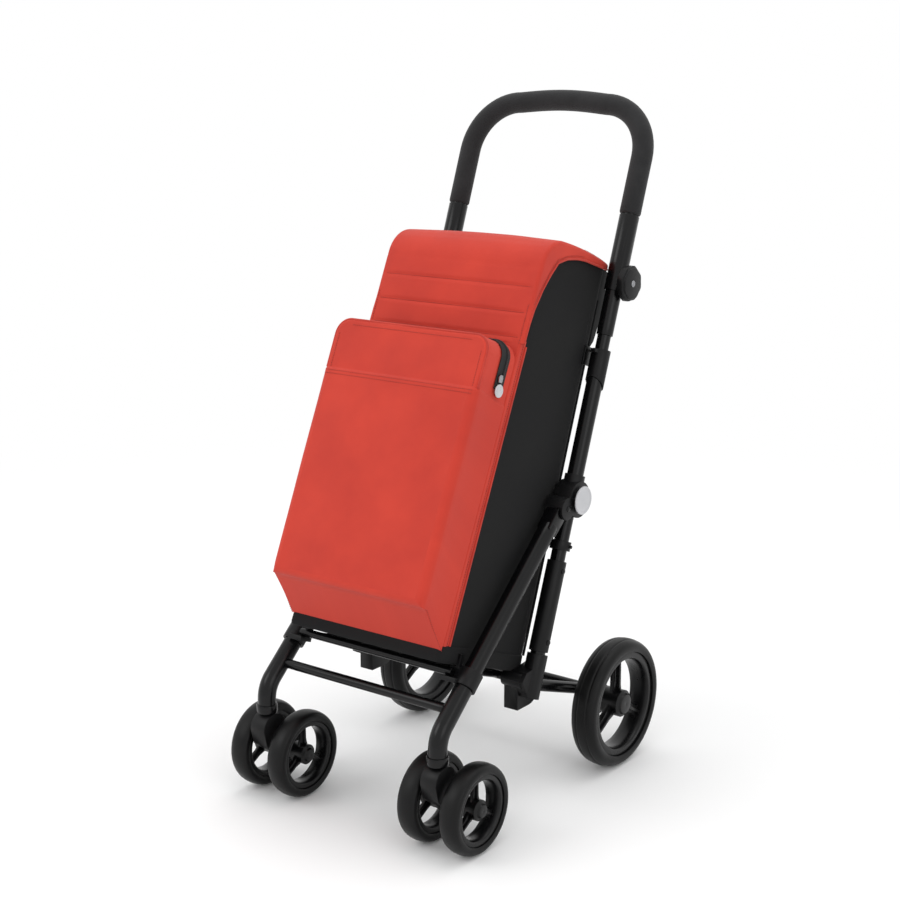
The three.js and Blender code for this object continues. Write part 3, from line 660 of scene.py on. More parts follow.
@dataclass
class RepeatTree:
    """A Geometry Nodes tree that sets one small shape along a path or on points."""

    name: str
    sizes: dict[str, float]

    def __post_init__(self) -> None:
        """Starts the tree with its named inputs."""
        self.tree = bpy.data.node_groups.new(self.name, "GeometryNodeTree")
        face = self.tree.interface
        face.new_socket("Geometry", in_out="INPUT", socket_type="NodeSocketGeometry")
        for size, value in self.sizes.items():
            socket = face.new_socket(size, in_out="INPUT", socket_type="NodeSocketFloat")
            socket.default_value = value
        face.new_socket("Finish", in_out="INPUT", socket_type="NodeSocketMaterial")
        face.new_socket("Geometry", in_out="OUTPUT", socket_type="NodeSocketGeometry")
        self.given = add_node(self.tree, "NodeGroupInput")

    def size(self, name: str) -> Socket:
        """The output of one of the named sizes."""
        return self.given.outputs[name]

    def combine(self, *sizes: Socket) -> Socket:
        """Three sizes made one vector."""
        made = add_node(self.tree, "ShaderNodeCombineXYZ", inputs=dict(enumerate(sizes)))
        return made.outputs["Vector"]

    def points_along(self, pitch: Socket) -> bpy.types.Node:
        """Points along the path at a pitch, each with the path's own turn."""
        line = add_node(self.tree, "GeometryNodeMeshToCurve", inputs={"Mesh": self.size("Geometry")})
        return add_node(
            self.tree,
            "GeometryNodeCurveToPoints",
            {"mode": "LENGTH"},
            {"Curve": line.outputs["Curve"], "Length": pitch},
        )

    def finish(self, points: Socket, instance: Socket, rotation: Socket | None, scale: Socket | None) -> None:
        """Sets the instance on the points and ends the tree.

        Args:
            points: where the shapes go.
            instance: the shape.
            rotation: each shape's turn, or none.
            scale: each shape's scale, or none.
        """
        inputs: dict[str | int, object] = {"Points": points, "Instance": instance}
        if rotation is not None:
            inputs["Rotation"] = rotation
        if scale is not None:
            inputs["Scale"] = scale
        placed = add_node(self.tree, "GeometryNodeInstanceOnPoints", inputs=inputs)
        real = add_node(
            self.tree, "GeometryNodeRealizeInstances", inputs={"Geometry": placed.outputs["Instances"]}
        )
        painted = add_node(
            self.tree,
            "GeometryNodeSetMaterial",
            inputs={"Geometry": real.outputs["Geometry"], "Material": self.size("Finish")},
        )
        add_node(self.tree, "NodeGroupOutput", inputs={"Geometry": painted.outputs["Geometry"]})

    def run(
        self, name: str, paths: Sequence[Sequence[Vector]], finish: Finish, **sizes: float
    ) -> bpy.types.Object:
        """Runs the tree on paths and returns the shapes as one plain mesh.

        Args:
            name: the new piece's name.
            paths: lines of points in mm; a path of one point is a place of its own.
            finish: the shapes' finish.
            **sizes: values in mm for the named sizes, with _ for a space.

        Returns:
            The new piece.
        """
        mesh = bpy.data.meshes.new(name)
        corners: list[Vector] = []
        edges: list[tuple[int, int]] = []
        for path in paths:
            start = len(corners)
            corners.extend(p * MM for p in path)
            edges.extend((start + k, start + k + 1) for k in range(len(path) - 1))
        mesh.from_pydata(corners, edges, [])
        made = bpy.data.objects.new(name, mesh)
        bpy.context.scene.collection.objects.link(made)
        repeat = made.modifiers.new("repeat", "NODES")
        repeat.node_group = self.tree
        named = {s.name: s.identifier for s in self.tree.interface.items_tree if s.in_out == "INPUT"}
        for size, value in sizes.items():
            repeat[named[size.replace("_", " ").title()]] = value * MM
        repeat[named["Finish"]] = finish.make()
        with_modifiers(made)
        made.data.shade_smooth()
        return made


def stitch_tree() -> RepeatTree:
    """Stitches: short rounded threads laid end to end along a seam, a little uneven."""
    made = RepeatTree("stitch_run", {"Pitch": 3.6 * MM, "Stitch": 2.6 * MM, "Thread": 0.9 * MM})
    points = made.points_along(made.size("Pitch"))
    thread = add_node(
        made.tree, "GeometryNodeMeshUVSphere", inputs={"Segments": 6, "Rings": 4, "Radius": 0.5}
    )
    shaped = add_node(
        made.tree,
        "GeometryNodeTransform",
        inputs={
            "Geometry": thread.outputs["Mesh"],
            "Scale": made.combine(made.size("Thread"), made.size("Thread"), made.size("Stitch")),
        },
    )
    uneven = add_node(
        made.tree,
        "FunctionNodeRandomValue",
        {"data_type": "FLOAT_VECTOR"},
        {0: (0.9, 0.9, 0.88), 1: (1.08, 1.08, 1.1), "Seed": 7},
    )
    made.finish(
        points.outputs["Points"], shaped.outputs["Geometry"], points.outputs["Rotation"], uneven.outputs[0]
    )
    return made


def zip_tree() -> RepeatTree:
    """Zip teeth: short bars across the tape, one beside the other."""
    made = RepeatTree("zip_teeth", {"Pitch": 2.0 * MM, "Across": 5.0 * MM, "Tooth": 1.3 * MM})
    points = made.points_along(made.size("Pitch"))
    ball = add_node(made.tree, "GeometryNodeMeshUVSphere", inputs={"Segments": 8, "Rings": 4, "Radius": 0.5})
    squeezed = add_node(
        made.tree,
        "GeometryNodeTransform",
        inputs={
            "Geometry": ball.outputs["Mesh"],
            "Scale": made.combine(made.size("Across"), made.size("Across"), made.size("Tooth")),
        },
    )
    made.finish(points.outputs["Points"], squeezed.outputs["Geometry"], points.outputs["Rotation"], None)
    return made


def rivet_tree() -> RepeatTree:
    """Rivet heads: low domes whose axis lies along X, as on the brackets' outer faces."""
    made = RepeatTree("rivet_heads", {"Head": 8.0 * MM, "Rise": 3.0 * MM})
    dome = add_node(made.tree, "GeometryNodeMeshUVSphere", inputs={"Segments": 16, "Rings": 8, "Radius": 0.5})
    squeezed = add_node(
        made.tree,
        "GeometryNodeTransform",
        inputs={
            "Geometry": dome.outputs["Mesh"],
            "Scale": made.combine(made.size("Rise"), made.size("Head"), made.size("Head")),
        },
    )
    made.finish(made.size("Geometry"), squeezed.outputs["Geometry"], None, None)
    return made


STITCHES = stitch_tree()
ZIP_TEETH = zip_tree()
RIVETS = rivet_tree()


# ---------------------------------------------------------------- frame


@dataclass
class LongTubes:
    """The two long tubes that lean back, with their sleeves, collars, hubs and push buttons."""

    lower_radius: float = 11.0
    mid_radius: float = 12.25
    inner_radius: float = 10.0
    lower: tuple[float, float] = (180.0, 450.5)
    mid: tuple[float, float] = (484.5, 660.0)
    upright: tuple[float, float] = (715.0, 852.0)
    inner: tuple[float, float] = (640.0, 760.0)
    hub_at: float = 469.5
    hub_outer_x: float = 174.5
    button_radius: float = 21.0
    button_face_x: float = 179.0

    def tube(self, side: Side, name: str, span: tuple[float, float], radius: float) -> bpy.types.Object:
        """One straight tube of the stack, in place of its CAD node."""
        x = side.value * TUBE_X
        path = straight(lean_point(x, 0, span[0]), lean_point(x, 0, span[1]))
        node = f"{name}_{side.word}"
        piece = sweep(path, radius, sides=40, bore=radius - 1.6).build(f"{node}_finished", POWDER_COAT)
        return settle(piece, "frame", [node])

    def button(self, side: Side) -> bpy.types.Object:
        """The round push button: a shallow dish with a raised rim and a soft dome."""
        k = side.value
        face = self.button_face_x
        r = self.button_radius
        section = [
            (face - 4.0, 0.0), (face - 4.0, 8.0), (face, 8.0), (face, r - 0.8), (face + 0.8, r),
            (face + 2.2, r), (face + 3.0, r - 0.8), (face + 3.1, r - 2.2), (face + 2.4, r - 3.0),
            (face + 2.5, r - 6.0), (face + 3.2, r - 12.0), (face + 3.6, 0.0),
        ]
        place = lean_point(0, 0, self.hub_at)
        plan = lathe_x([(k * x, radius) for x, radius in section], place, closed=False)
        node = f"hub_button_{side.word}"
        piece = plan.build(f"{node}_finished", GREY_ABS, 50)
        return settle(piece, f"button_{side.word}", [node])

    def rivets(self, side: Side) -> bpy.types.Object:
        """The rivet of the leg's pivot and the ones on the sleeves' outer faces."""
        k = side.value
        places = [
            [lean_point(k * (self.hub_outer_x + 0.2), 25.5, 452)],
            [lean_point(k * (TUBE_X + 14.3), 0, 256)],
            [lean_point(k * (TUBE_X + 14.3), 0, 362)],
        ]
        piece = RIVETS.run(f"frame_rivets_{side.word}", places, POWDER_COAT, head=9.0, rise=4.0)
        return settle(piece, "frame")

    def build(self) -> None:
        """Builds both stacks."""
        for side in Side:
            self.tube(side, "lower_tube", self.lower, self.lower_radius)
            self.tube(side, "mid_tube", self.mid, self.mid_radius)
            self.tube(side, "inner_tube", self.inner, self.inner_radius)
            self.tube(side, "upright_tube", self.upright, self.mid_radius)
            refine_node(f"collar_sleeve_{side.word}", MOULDED_NYLON, 1.0)
            refine_node(f"lower_sleeve_{side.word}", MOULDED_NYLON, 1.0)
            refine_node(f"stop_collar_{side.word}", MOULDED_NYLON, 0.9)
            refine_node(f"hub_body_{side.word}", MOULDED_NYLON, 1.2)
            self.button(side)
            self.rivets(side)


@dataclass
class Undercarriage:
    """Foot brackets, rear arms, the rear beam with its axle blocks, the platform and the bag's hooks."""

    beam_radius: float = 9.0
    beam_end: float = 152.3
    beam_z: float = 109.0
    platform_at: float = 195.0
    platform_back: float = 22.0
    platform_front: float = 178.0
    platform_radius: float = 6.0
    platform_half_width: float = 118.0
    wire_radius: float = 3.0
    wire_count: int = 6

    def beam(self) -> bpy.types.Object:
        """The tube across the back that carries both axles."""
        ends = [Vector((k * self.beam_end, AXLE_Y, self.beam_z)) for k in (-1, 1)]
        plan = sweep(straight(*ends), self.beam_radius, sides=36, bore=self.beam_radius - 1.6)
        return settle(plan.build("rear_beam_finished", POWDER_COAT), "frame", ["rear_beam"])

    def platform(self) -> bpy.types.Object:
        """The wire platform, with a bar in front, a pivot bar behind and wires between."""
        front_half = TUBE_X - 13.5 - 5
        back_half = 139.0
        plan = MeshPlan()

        def bar(start: Vector, end: Vector, radius: float) -> None:
            part = sweep(straight(start, end), radius, sides=20, ends=min(1.0, radius / 3))
            plan.add(part.corners, part.faces)

        for ahead, half in ((self.platform_back, back_half), (self.platform_front, front_half)):
            ends = [lean_point(k * half, ahead, self.platform_at) for k in (-1, 1)]
            bar(ends[0], ends[1], self.platform_radius)
        wires = [
            (self.platform_half_width * (2 * (k + 1) / (self.wire_count + 1) - 1), self.wire_radius)
            for k in range(self.wire_count)
        ]
        edge = self.platform_half_width - 6
        for x, radius in [(-edge, self.platform_radius - 1), (edge, self.platform_radius - 1), *wires]:
            bar(
                lean_point(x, self.platform_back, self.platform_at),
                lean_point(x, self.platform_front, self.platform_at),
                radius,
            )
        piece = plan.build("platform_finished", POWDER_COAT)
        return settle(piece, "frame", ["platform_frame"])

    def build(self) -> None:
        """Builds everything under the bag and behind it."""
        self.beam()
        self.platform()
        for side in Side:
            refine_node(f"foot_bracket_{side.word}", MOULDED_NYLON, 1.2)
            refine_node(f"rear_arm_{side.word}", POWDER_COAT, 0.5)
            refine_node(f"axle_receiver_{side.word}", MOULDED_NYLON, 0.7)
            refine_node(f"rear_axle_pin_{side.word}", ZINC_STEEL, 0.6)
            refine_node(f"bag_hook_{side.word}", MOULDED_NYLON, 0.8)
        refine_node("base_board", MOULDED_NYLON, 0.6)


@dataclass
class Handle:
    """The loop handle with its foam sleeve, the sockets it slides in and their clamp knobs."""

    tube_from: float = 867.0
    grip_from: float = 899.0
    top: float = 1067.0
    arch: float = 5.0
    corner: float = 80.0
    tube_radius: float = 12.0
    grip_radius: float = 16.0
    knob_at: float = 796.0

    def route(self, start: float) -> list[Vector]:
        """The handle's middle line from one leg, over the bar, to the other leg."""
        inner = TUBE_X - self.corner
        shoulder = self.top - self.corner
        leg = [(TUBE_X, start + (shoulder - start) * k / 6) for k in range(6)]
        bend = [(inner + x, shoulder + z) for x, z in arc_points(self.corner, 0, 90, 16)]
        bar = [
            (inner * (1 - k / 8), self.top + self.arch * math.sin(math.pi / 2 * k / 8)) for k in range(1, 9)
        ]
        half = [*leg, *bend, *bar]
        whole = [*half, *[(-x, z) for x, z in reversed(half[:-1])]]
        return [lean_point(x, 0, z) for x, z in whole]

    def grip(self) -> bpy.types.Object:
        """The foam sleeve over the whole loop."""
        plan = sweep(self.route(self.grip_from), self.grip_radius, 40, self.tube_radius + 0.5, 3.0)
        piece = plan.build("foam_grip_finished", FOAM_SLEEVE, 50)
        return settle(piece, "handle", ["foam_grip"])

    def build(self) -> None:
        """Builds the handle, its sockets and its knobs."""
        plan = sweep(self.route(self.tube_from), self.tube_radius, 36)
        tube = plan.build("handle_tube_finished", POWDER_COAT)
        settle(tube, "handle", ["handle_tube"])
        self.grip()
        for side in Side:
            refine_node(f"handle_socket_{side.word}", POWDER_COAT, 1.2)
            refine_node(f"clamp_knob_{side.word}", MOULDED_NYLON, 1.4)
            x = side.value * (TUBE_X + 15 + 2 + 0.5 + 13)
            places = [[lean_point(x, 0, self.knob_at)]]
            screw = RIVETS.run(f"knob_screw_{side.word}", places, ZINC_STEEL, head=10.0, rise=3.0)
            settle(screw, f"knob_{side.word}")


@dataclass
class FrontLegs:
    """The two bent front legs on their hub pivots, the cross bar and the platform's clips."""

    radius: float = 13.5
    angle: float = math.radians(48.1)
    pivot_ahead: float = 25.5
    pivot_up: float = 452.0
    bend: float = 42.0
    foot_z: float = 133.0
    reach: float = 391.0
    tube_from: float = 34.0
    bar_along: float = 347.0
    bar_radius: float = 7.0

    def on_leg(self, x: float, along: float) -> Vector:
        """A place on a leg's sloping line, at a distance from the pivot."""
        pivot = lean_point(x, self.pivot_ahead, self.pivot_up)
        return pivot + Vector((0, -math.sin(self.angle), -math.cos(self.angle))) * along

    def leg(self, side: Side) -> bpy.types.Object:
        """A leg: its tongue in the hub, the bent tube and a flared foot over the caster."""
        x = side.value * TUBE_X
        node = f"front_leg_{side.word}"
        swivel = self.on_leg(x, self.reach)
        run = self.bend * math.tan(self.angle / 2)
        centre = Vector((x, swivel.y + self.bend, swivel.z - run))
        turn = math.degrees(self.angle)
        bend = [centre + Vector((0, y, z)) for y, z in arc_points(self.bend, 180 - turn, 180, 12)]
        slope = straight(self.on_leg(x, self.tube_from), bend[0])[:-1]
        path = [*slope, *bend, *straight(bend[-1], Vector((x, swivel.y, self.foot_z)))[1:]]
        tube = sweep(path, self.radius, 40, 8.5).build(f"{node}_tube", POWDER_COAT)
        foot = sweep(
            straight(Vector((x, swivel.y, self.foot_z + 13)), Vector((x, swivel.y, self.foot_z))),
            self.radius + 2, 40, self.radius - 0.4, 1.5,
        ).build(f"{node}_foot", POWDER_COAT)
        tongue = self.tongue(x).build(f"{node}_tongue", POWDER_COAT)
        piece = joined(f"{node}_finished", [tube, foot, bevelled(tongue, 1.2)])
        dress(piece, POWDER_COAT)
        return settle(piece, "front_frame", [node])

    def tongue(self, x: float) -> MeshPlan:
        """The flat end of a leg between the hub's cheeks."""
        half_thick, r = 11.0, 13.0
        pivot = self.on_leg(x, 0)
        far = self.tube_from + 10 + r
        turns = [math.radians(270 + 15 * k) + self.angle for k in range(13)]
        head = [(r * math.cos(a), r * math.sin(a)) for a in turns]
        down = Vector((0, -math.sin(self.angle), -math.cos(self.angle)))
        end = (down.y * (far - r), down.z * (far - r))
        across = (math.cos(self.angle) * (r - 1.5), -math.sin(self.angle) * (r - 1.5))
        ring = sorted(
            [*head, (end[0] + across[0], end[1] + across[1]), (end[0] - across[0], end[1] - across[1])],
            key=lambda p: math.atan2(p[1] - down.z * 10, p[0] - down.y * 10),
        )
        return prism_x(ring, -half_thick, half_thick, pivot)

    def build(self) -> None:
        """Builds both legs, the bar between them and the clips."""
        for side in Side:
            self.leg(side)
            refine_node(f"platform_clip_{side.word}", MOULDED_NYLON, 1.0)
        half = TUBE_X - self.radius + 1.5
        ends = [self.on_leg(k * half, self.bar_along) for k in (-1, 1)]
        bar = sweep(straight(*ends), self.bar_radius, 32, ends=0.6)
        bar = bar.build("front_crossbar_finished", POWDER_COAT)
        settle(bar, "front_frame", ["front_crossbar"])


# ---------------------------------------------------------------- wheels


@dataclass
class SpokedWheel:
    """A moulded three-spoke rim and its tyre, turned about the X axis."""

    tyre_radius: float
    tyre_width: float
    seat_radius: float
    ring_radius: float
    ring_width: float
    hub_radius: float
    hub_width: float
    spoke_half: float
    bore: float
    grooves: int = 2

    def rim(self, name: str, centre: Vector, out: float) -> bpy.types.Object:
        """The rim: a deep ring with lips, three ribbed spokes and a hub with a cap.

        Args:
            name: the piece's name.
            centre: the wheel's middle.
            out: the sign of the wheel's outer face along x.

        Returns:
            The rim as one mesh.
        """
        half = self.ring_width / 2
        lip = 2.2
        ring = [
            (-half, self.ring_radius + 1.5), (-half, self.seat_radius), (half, self.seat_radius),
            (half, self.ring_radius + 1.5), (half - lip, self.ring_radius),
            (half * 0.35, self.ring_radius - 1.6),
            (-half * 0.35, self.ring_radius - 1.6), (-half + lip, self.ring_radius),
        ]
        parts = [bevelled(lathe_x(ring, centre).build(f"{name}_ring", RIM_PLASTIC), 0.8)]
        reach = self.ring_radius + 0.6
        s, h = self.spoke_half, self.hub_radius
        for k in range(3):
            turn = math.radians(120 * k)
            web = [
                (-s * 1.5, h * 0.7), (s * 1.5, h * 0.7),
                (s * 0.95, (h + reach) * 0.42), (s * 0.85, (h + reach) * 0.62),
                (s * 1.2, reach - 5), (s * 1.9, reach), (-s * 1.9, reach), (-s * 1.2, reach - 5),
                (-s * 0.85, (h + reach) * 0.62), (-s * 0.95, (h + reach) * 0.42),
            ]
            plate = prism_x(web, -half * 0.22, half * 0.22, centre, turn)
            rib = prism_x(
                [(-s * 0.32, h * 0.7), (s * 0.32, h * 0.7), (s * 0.26, reach), (-s * 0.26, reach)],
                -half * 0.5, half * 0.5, centre, turn,
            )
            parts.append(bevelled(plate.build(f"{name}_web{k}", RIM_PLASTIC), 1.0))
            parts.append(bevelled(rib.build(f"{name}_rib{k}", RIM_PLASTIC), 0.7))
        w = self.hub_width / 2
        hub = [
            (-w, self.bore), (-w, h - 2), (-w + 2, h), (w - 6, h),
            (w - 4.5, h - 2.5), (w - 3.5, h - 4.5),
            (w - 0.6, h - 6.0), (w, h - 8.0), (w - 0.2, 2.0), (w - 0.4, 0.4), (w - 3, 0.4),
            (w - 6, self.bore),
        ]
        parts.append(lathe_x([(out * x, r) for x, r in hub], centre).build(f"{name}_hub", RIM_PLASTIC, 30))
        whole = joined(name, parts)
        return dress(whole, RIM_PLASTIC, 34)

    def tyre(self, name: str, centre: Vector) -> bpy.types.Object:
        """The tyre: a round crown with shallow grooves and a bead against the rim's lips."""
        half = self.tyre_width / 2
        inner = self.seat_radius + 0.3
        depth = self.tyre_radius - inner
        outline: list[tuple[float, float]] = []
        count = 48
        for k in range(count + 1):
            a = math.pi * k / count
            x = -half * math.cos(a)
            r = inner + depth * (0.22 + 0.78 * math.sin(a) ** 0.62)
            for g in range(self.grooves):
                at = half * (-0.38 + 0.76 * g / max(1, self.grooves - 1)) if self.grooves > 1 else 0.0
                r -= 0.9 * math.exp(-(((x - at) / 1.1) ** 2))
            outline.append((x, r))
        section = [(-half + 1.5, inner), *outline, (half - 1.5, inner)]
        return lathe_x(section, centre, 96).build(name, TREAD_RUBBER, 40)

    def build(self, rim_node: str, tyre_node: str, out: float) -> None:
        """Builds a wheel in place of its two CAD nodes."""
        centre = node_centre(tyre_node)
        body = BODY_OF[rim_node]
        rim = self.rim(f"{rim_node}_finished", centre, out)
        settle(rim, body, [rim_node])
        settle(self.tyre(f"{tyre_node}_finished", centre), body, [tyre_node])


@dataclass
class RollingGear:
    """The two rear wheels and the two double casters."""

    rear: SpokedWheel = field(
        default_factory=lambda: SpokedWheel(100, 42, 81.5, 70.5, 34, 21, 40, 8.5, 5.5)
    )
    front: SpokedWheel = field(
        default_factory=lambda: SpokedWheel(65.3, 32, 51, 43, 26, 15, 32, 5.8, 4.5, grooves=0)
    )

    def build(self) -> None:
        """Builds every wheel and the casters' forks."""
        for side in Side:
            k = side.value
            self.rear.build(f"rear_rim_{side.word}", f"rear_tyre_{side.word}", k)
            refine_node(f"caster_fork_{side.word}", MOULDED_NYLON, 1.6)
            for place in Place:
                name = f"{side.word}_{place.word}"
                self.front.build(f"caster_rim_{name}", f"caster_tyre_{name}", k * place.value)


# ---------------------------------------------------------------- cloth


@dataclass
class BagForm:
    """The lines that the bag, its lid and its pocket share, in the lean frame."""

    half_width: float = 136.5
    front_low: float = 212.0
    front_slope: float = 0.072
    bottom: float = 209.0
    back: float = -4.0
    lid_top: float = 822.0
    lid_slope: float = 0.04
    lid_corner: float = 46.0
    lid_edge: float = 661.0
    lid_half_width: float = 140.5

    def front(self, up: float) -> float:
        """How far ahead the bag's front is at a height."""
        return self.front_low - self.front_slope * (up - self.bottom)

    @property
    def corner_ahead(self) -> float:
        """Where the lid's round front corner has its centre."""
        return self.front(self.lid_top - self.lid_corner) - self.lid_corner

    @property
    def corner_up(self) -> float:
        """The height of that centre."""
        return self.lid_top - self.lid_slope * self.corner_ahead - self.lid_corner

    def top(self, ahead: float, inset: float) -> float:
        """The height of the lid's line, moved in by an inset, at a distance ahead."""
        if ahead <= self.corner_ahead:
            return self.lid_top - self.lid_slope * ahead - inset
        r = self.lid_corner - inset
        over = min(ahead - self.corner_ahead, r)
        return self.corner_up + math.sqrt(max(r * r - over * over, 0.0))

    def lid_line(self) -> list[tuple[float, float, float, float]]:
        """The lid's outer line from its back edge to its front edge.

        Returns:
            For each station (ahead, up, normal ahead, normal up).
        """
        line = [(2 + (self.corner_ahead - 2) * k / 18, 0.0) for k in range(18)]
        out = [(v, self.lid_top - self.lid_slope * v, self.lid_slope, 1.0) for v, _ in line]
        for x, z in arc_points(1.0, 90, 0, 18):
            out.append((self.corner_ahead + self.lid_corner * x, self.corner_up + self.lid_corner * z, x, z))
        start = self.corner_up - 3
        count = 44
        for k in range(count + 1):
            up = start + (self.lid_edge - start) * k / count
            out.append((self.front(up), up, 1.0, self.front_slope))
        return out


FORM = BagForm()


def fold_noise(x: float, up: float, size: float, seed: float) -> float:
    """A slow unevenness of cloth, about -1 to 1, at a place; size is the width of a fold in mm."""
    return noise.noise(Vector((x / size, up / size, seed)))


@dataclass
class ClothBag:
    """The bag itself: a lofted black shell, a red front, its base band, seams and hanging loops."""

    wall: float = 1.8
    side_belly: float = 3.6
    back_belly: float = 6.0
    front_radius: float = 9.0
    back_radius: float = 16.0
    levels: int = 72

    def ring(self) -> list[tuple[float, float]]:
        """The bag's section: (x share, depth share) round the loop, starting at the back's middle."""
        w = FORM.half_width
        depth = 200.0
        fr, br = self.front_radius, self.back_radius
        half: list[tuple[float, float]] = [((w - br) * k / 10, 0.0) for k in range(10)]
        half += [(w - br + br * x, br + br * z) for x, z in arc_points(1, -90, 0, 6)]
        half += [(w, br + (depth - fr - br) * k / 26) for k in range(1, 26)]
        half += [(w - fr + fr * x, depth - fr + fr * z) for x, z in arc_points(1, 0, 90, 6)]
        half += [((w - fr) * (1 - k / 12), depth) for k in range(1, 13)]
        whole = [*half, *[(-x, z) for x, z in reversed(half[1:-1])]]
        return [(x, z / depth) for x, z in whole]

    def shell(self) -> bpy.types.Object:
        """The black shell, open at the top, with bellied sides and a sagging bottom."""
        ring = self.ring()
        rows: list[list[Vector]] = []
        cloth: list[list[tuple[float, float]]] = []
        for level in range(self.levels + 1):
            t = level / self.levels
            row, threads = [], []
            for x, u in ring:
                v_low = FORM.back + (FORM.front(500) - 8 - FORM.back) * u
                up = FORM.bottom + (FORM.top(v_low, 7.6) - FORM.bottom) * t
                tuck = 7.6 * max(0.0, min(1.0, (up - 650) / 22))
                v = FORM.back + (FORM.front(up) - tuck - FORM.back) * u
                v = min(v, FORM.corner_ahead + FORM.lid_corner - 7.6) if up > FORM.corner_up else v
                belly = math.sin(math.pi * min(max(t, 0), 1)) ** 0.7
                across = math.sin(math.pi * u)
                edge = abs(x) / FORM.half_width
                side = max(0.0, (edge - 0.85) / 0.15)
                fold = fold_noise(v * 0.6, up * 0.35, 62, 3.1 + (5 if x > 0 else 0))
                x_out = x + math.copysign(side * across * (self.side_belly * belly + 1.5 * fold), x)
                if u < 0.12:
                    v -= (1 - edge**2) * belly * self.back_belly * (1 - u / 0.12)
                if t < 0.04:
                    shrink = 1 - 0.028 * (1 - t / 0.04) ** 2
                    x_out *= shrink
                row.append(lean_point(x_out, v, up))
                threads.append((x if side < 0.5 else v, up))
            rows.append(row)
            cloth.append(threads)
        plan = MeshPlan()
        floor_rows, floor_cloth = self.floor(rows[0])
        plan.add_grid([*floor_rows, *rows], closed=True, cloth=[*floor_cloth, *cloth])
        plan.faces.append(tuple(range(len(ring))))
        piece = plan.build("bag_shell", BLACK_CLOTH, 60)
        thicken(piece, self.wall)
        dress(piece, BLACK_CLOTH, 60)
        return settle(piece, "frame", ["bag_body"])

    def floor(self, rim: list[Vector]) -> tuple[list[list[Vector]], list[list[tuple[float, float]]]]:
        """Rings that close the bottom, sagging a little towards the middle."""
        centre = sum(rim, Vector()) / len(rim)
        down = (lean_point(0, 0, 0) - lean_point(0, 0, 1)).normalized()
        rows, cloth = [], []
        for share, sag in ((0.25, 1.6), (0.5, 1.4), (0.75, 1.0), (0.92, 0.6)):
            row = [centre.lerp(p, share) + down * sag for p in rim]
            rows.append(row)
            cloth.append([(p.x, p.y) for p in row])
        return rows, cloth

    def red_front(self) -> bpy.types.Object:
        """The red front panel with edges that wrap round onto the sides."""
        w = FORM.half_width + 0.9
        across = [(-w, -13.0), (-w, -8.0), (-w, -3.5)]
        across += [(-w + 4 + 4 * x, -3.4 + 4 * z) for x, z in arc_points(1, 180, 90, 5)]
        across += [(-w + 6 + (w - 6) * k / 10, 0.7) for k in range(11)]
        whole = [*across, *[(-x, d) for x, d in reversed(across[:-1])]]
        rows, cloth = [], []
        for k in range(81):
            up = 228 + (FORM.lid_edge + 5 - 228) * k / 80
            row, threads = [], []
            for x, d in whole:
                ripple = 0.35 * fold_noise(x, up, 70, 8.3) if d > 0 else 0.0
                tuck = 7.4 * max(0.0, min(1.0, (up - 668) / 6))
                row.append(lean_point(x, FORM.front(up) + d + ripple - tuck, up))
                threads.append((x + d, up))
            rows.append(row)
            cloth.append(threads)
        plan = MeshPlan()
        plan.add_grid(rows, cloth=cloth)
        piece = thicken(plan.build("bag_front_panel", RED_CLOTH, 60), 0.8)
        dress(piece, RED_CLOTH, 60)
        return settle(piece, "frame")

    def seams(self) -> None:
        """The red piping down both front edges, the black tape at the back and their stitching."""
        fronts, backs, runs, tapes = [], [], [], []
        for side in Side:
            x = side.value * (FORM.half_width + 1.3)
            ups = [229 + (766 - 229) * k / 90 for k in range(91)]
            fronts.append([lean_point(x, FORM.front(up) - 14, up) for up in ups if up < 664])
            runs.append([lean_point(side.value * (FORM.half_width + 1.5), FORM.front(up) - 8, up)
                         for up in ups if up < 668])
            backs.append([lean_point(side.value * (FORM.half_width - 3.2), FORM.back + 2.8, up)
                          for up in ups])
            tapes.append([lean_point(side.value * (FORM.half_width + 0.9), 18, up)
                          for up in ups if 225 < up < 760])
        plan = MeshPlan()
        for path in fronts:
            part = sweep(path, 1.9, 12, ends=0.6)
            plan.add(part.corners, part.faces)
        settle(plan.build("bag_front_piping", RED_PIPING, 60), "frame")
        dark = MeshPlan()
        for path in backs:
            part = sweep(path, 2.0, 12, ends=0.6)
            dark.add(part.corners, part.faces)
        settle(dark.build("bag_back_piping", BLACK_PIPING, 60), "frame")
        settle(STITCHES.run("bag_front_stitches", runs, RED_THREAD), "frame")
        settle(STITCHES.run("bag_back_stitches", tapes, BLACK_THREAD), "frame")

    def base_band(self) -> bpy.types.Object:
        """The stiffened black band round the bag's foot, with a rolled lower edge."""
        ring = self.ring()
        rows, cloth = [], []
        for up, out in ((206.6, -6.0), (205.4, -3.0), (205.2, 0.2), (206.4, 1.6), (210, 2.1), (218, 2.0),
                        (227, 1.8), (229, 1.4), (229.4, 0.4)):
            row, threads = [], []
            for x, u in ring:
                v = FORM.back + (FORM.front(up) - FORM.back) * u
                edge = 1 + out / FORM.half_width
                ahead = out * (2 * u - 1) if 0.02 > u or u > 0.98 else 0.0
                row.append(lean_point(x * edge, v + ahead, up))
                threads.append((x + v, up))
            rows.append(row)
            cloth.append(threads)
        plan = MeshPlan()
        plan.add_grid(rows, closed=True, cloth=cloth)
        piece = thicken(plan.build("bag_base_band", BLACK_CLOTH, 60), 0.7)
        dress(piece, BLACK_CLOTH, 60)
        return settle(piece, "frame")

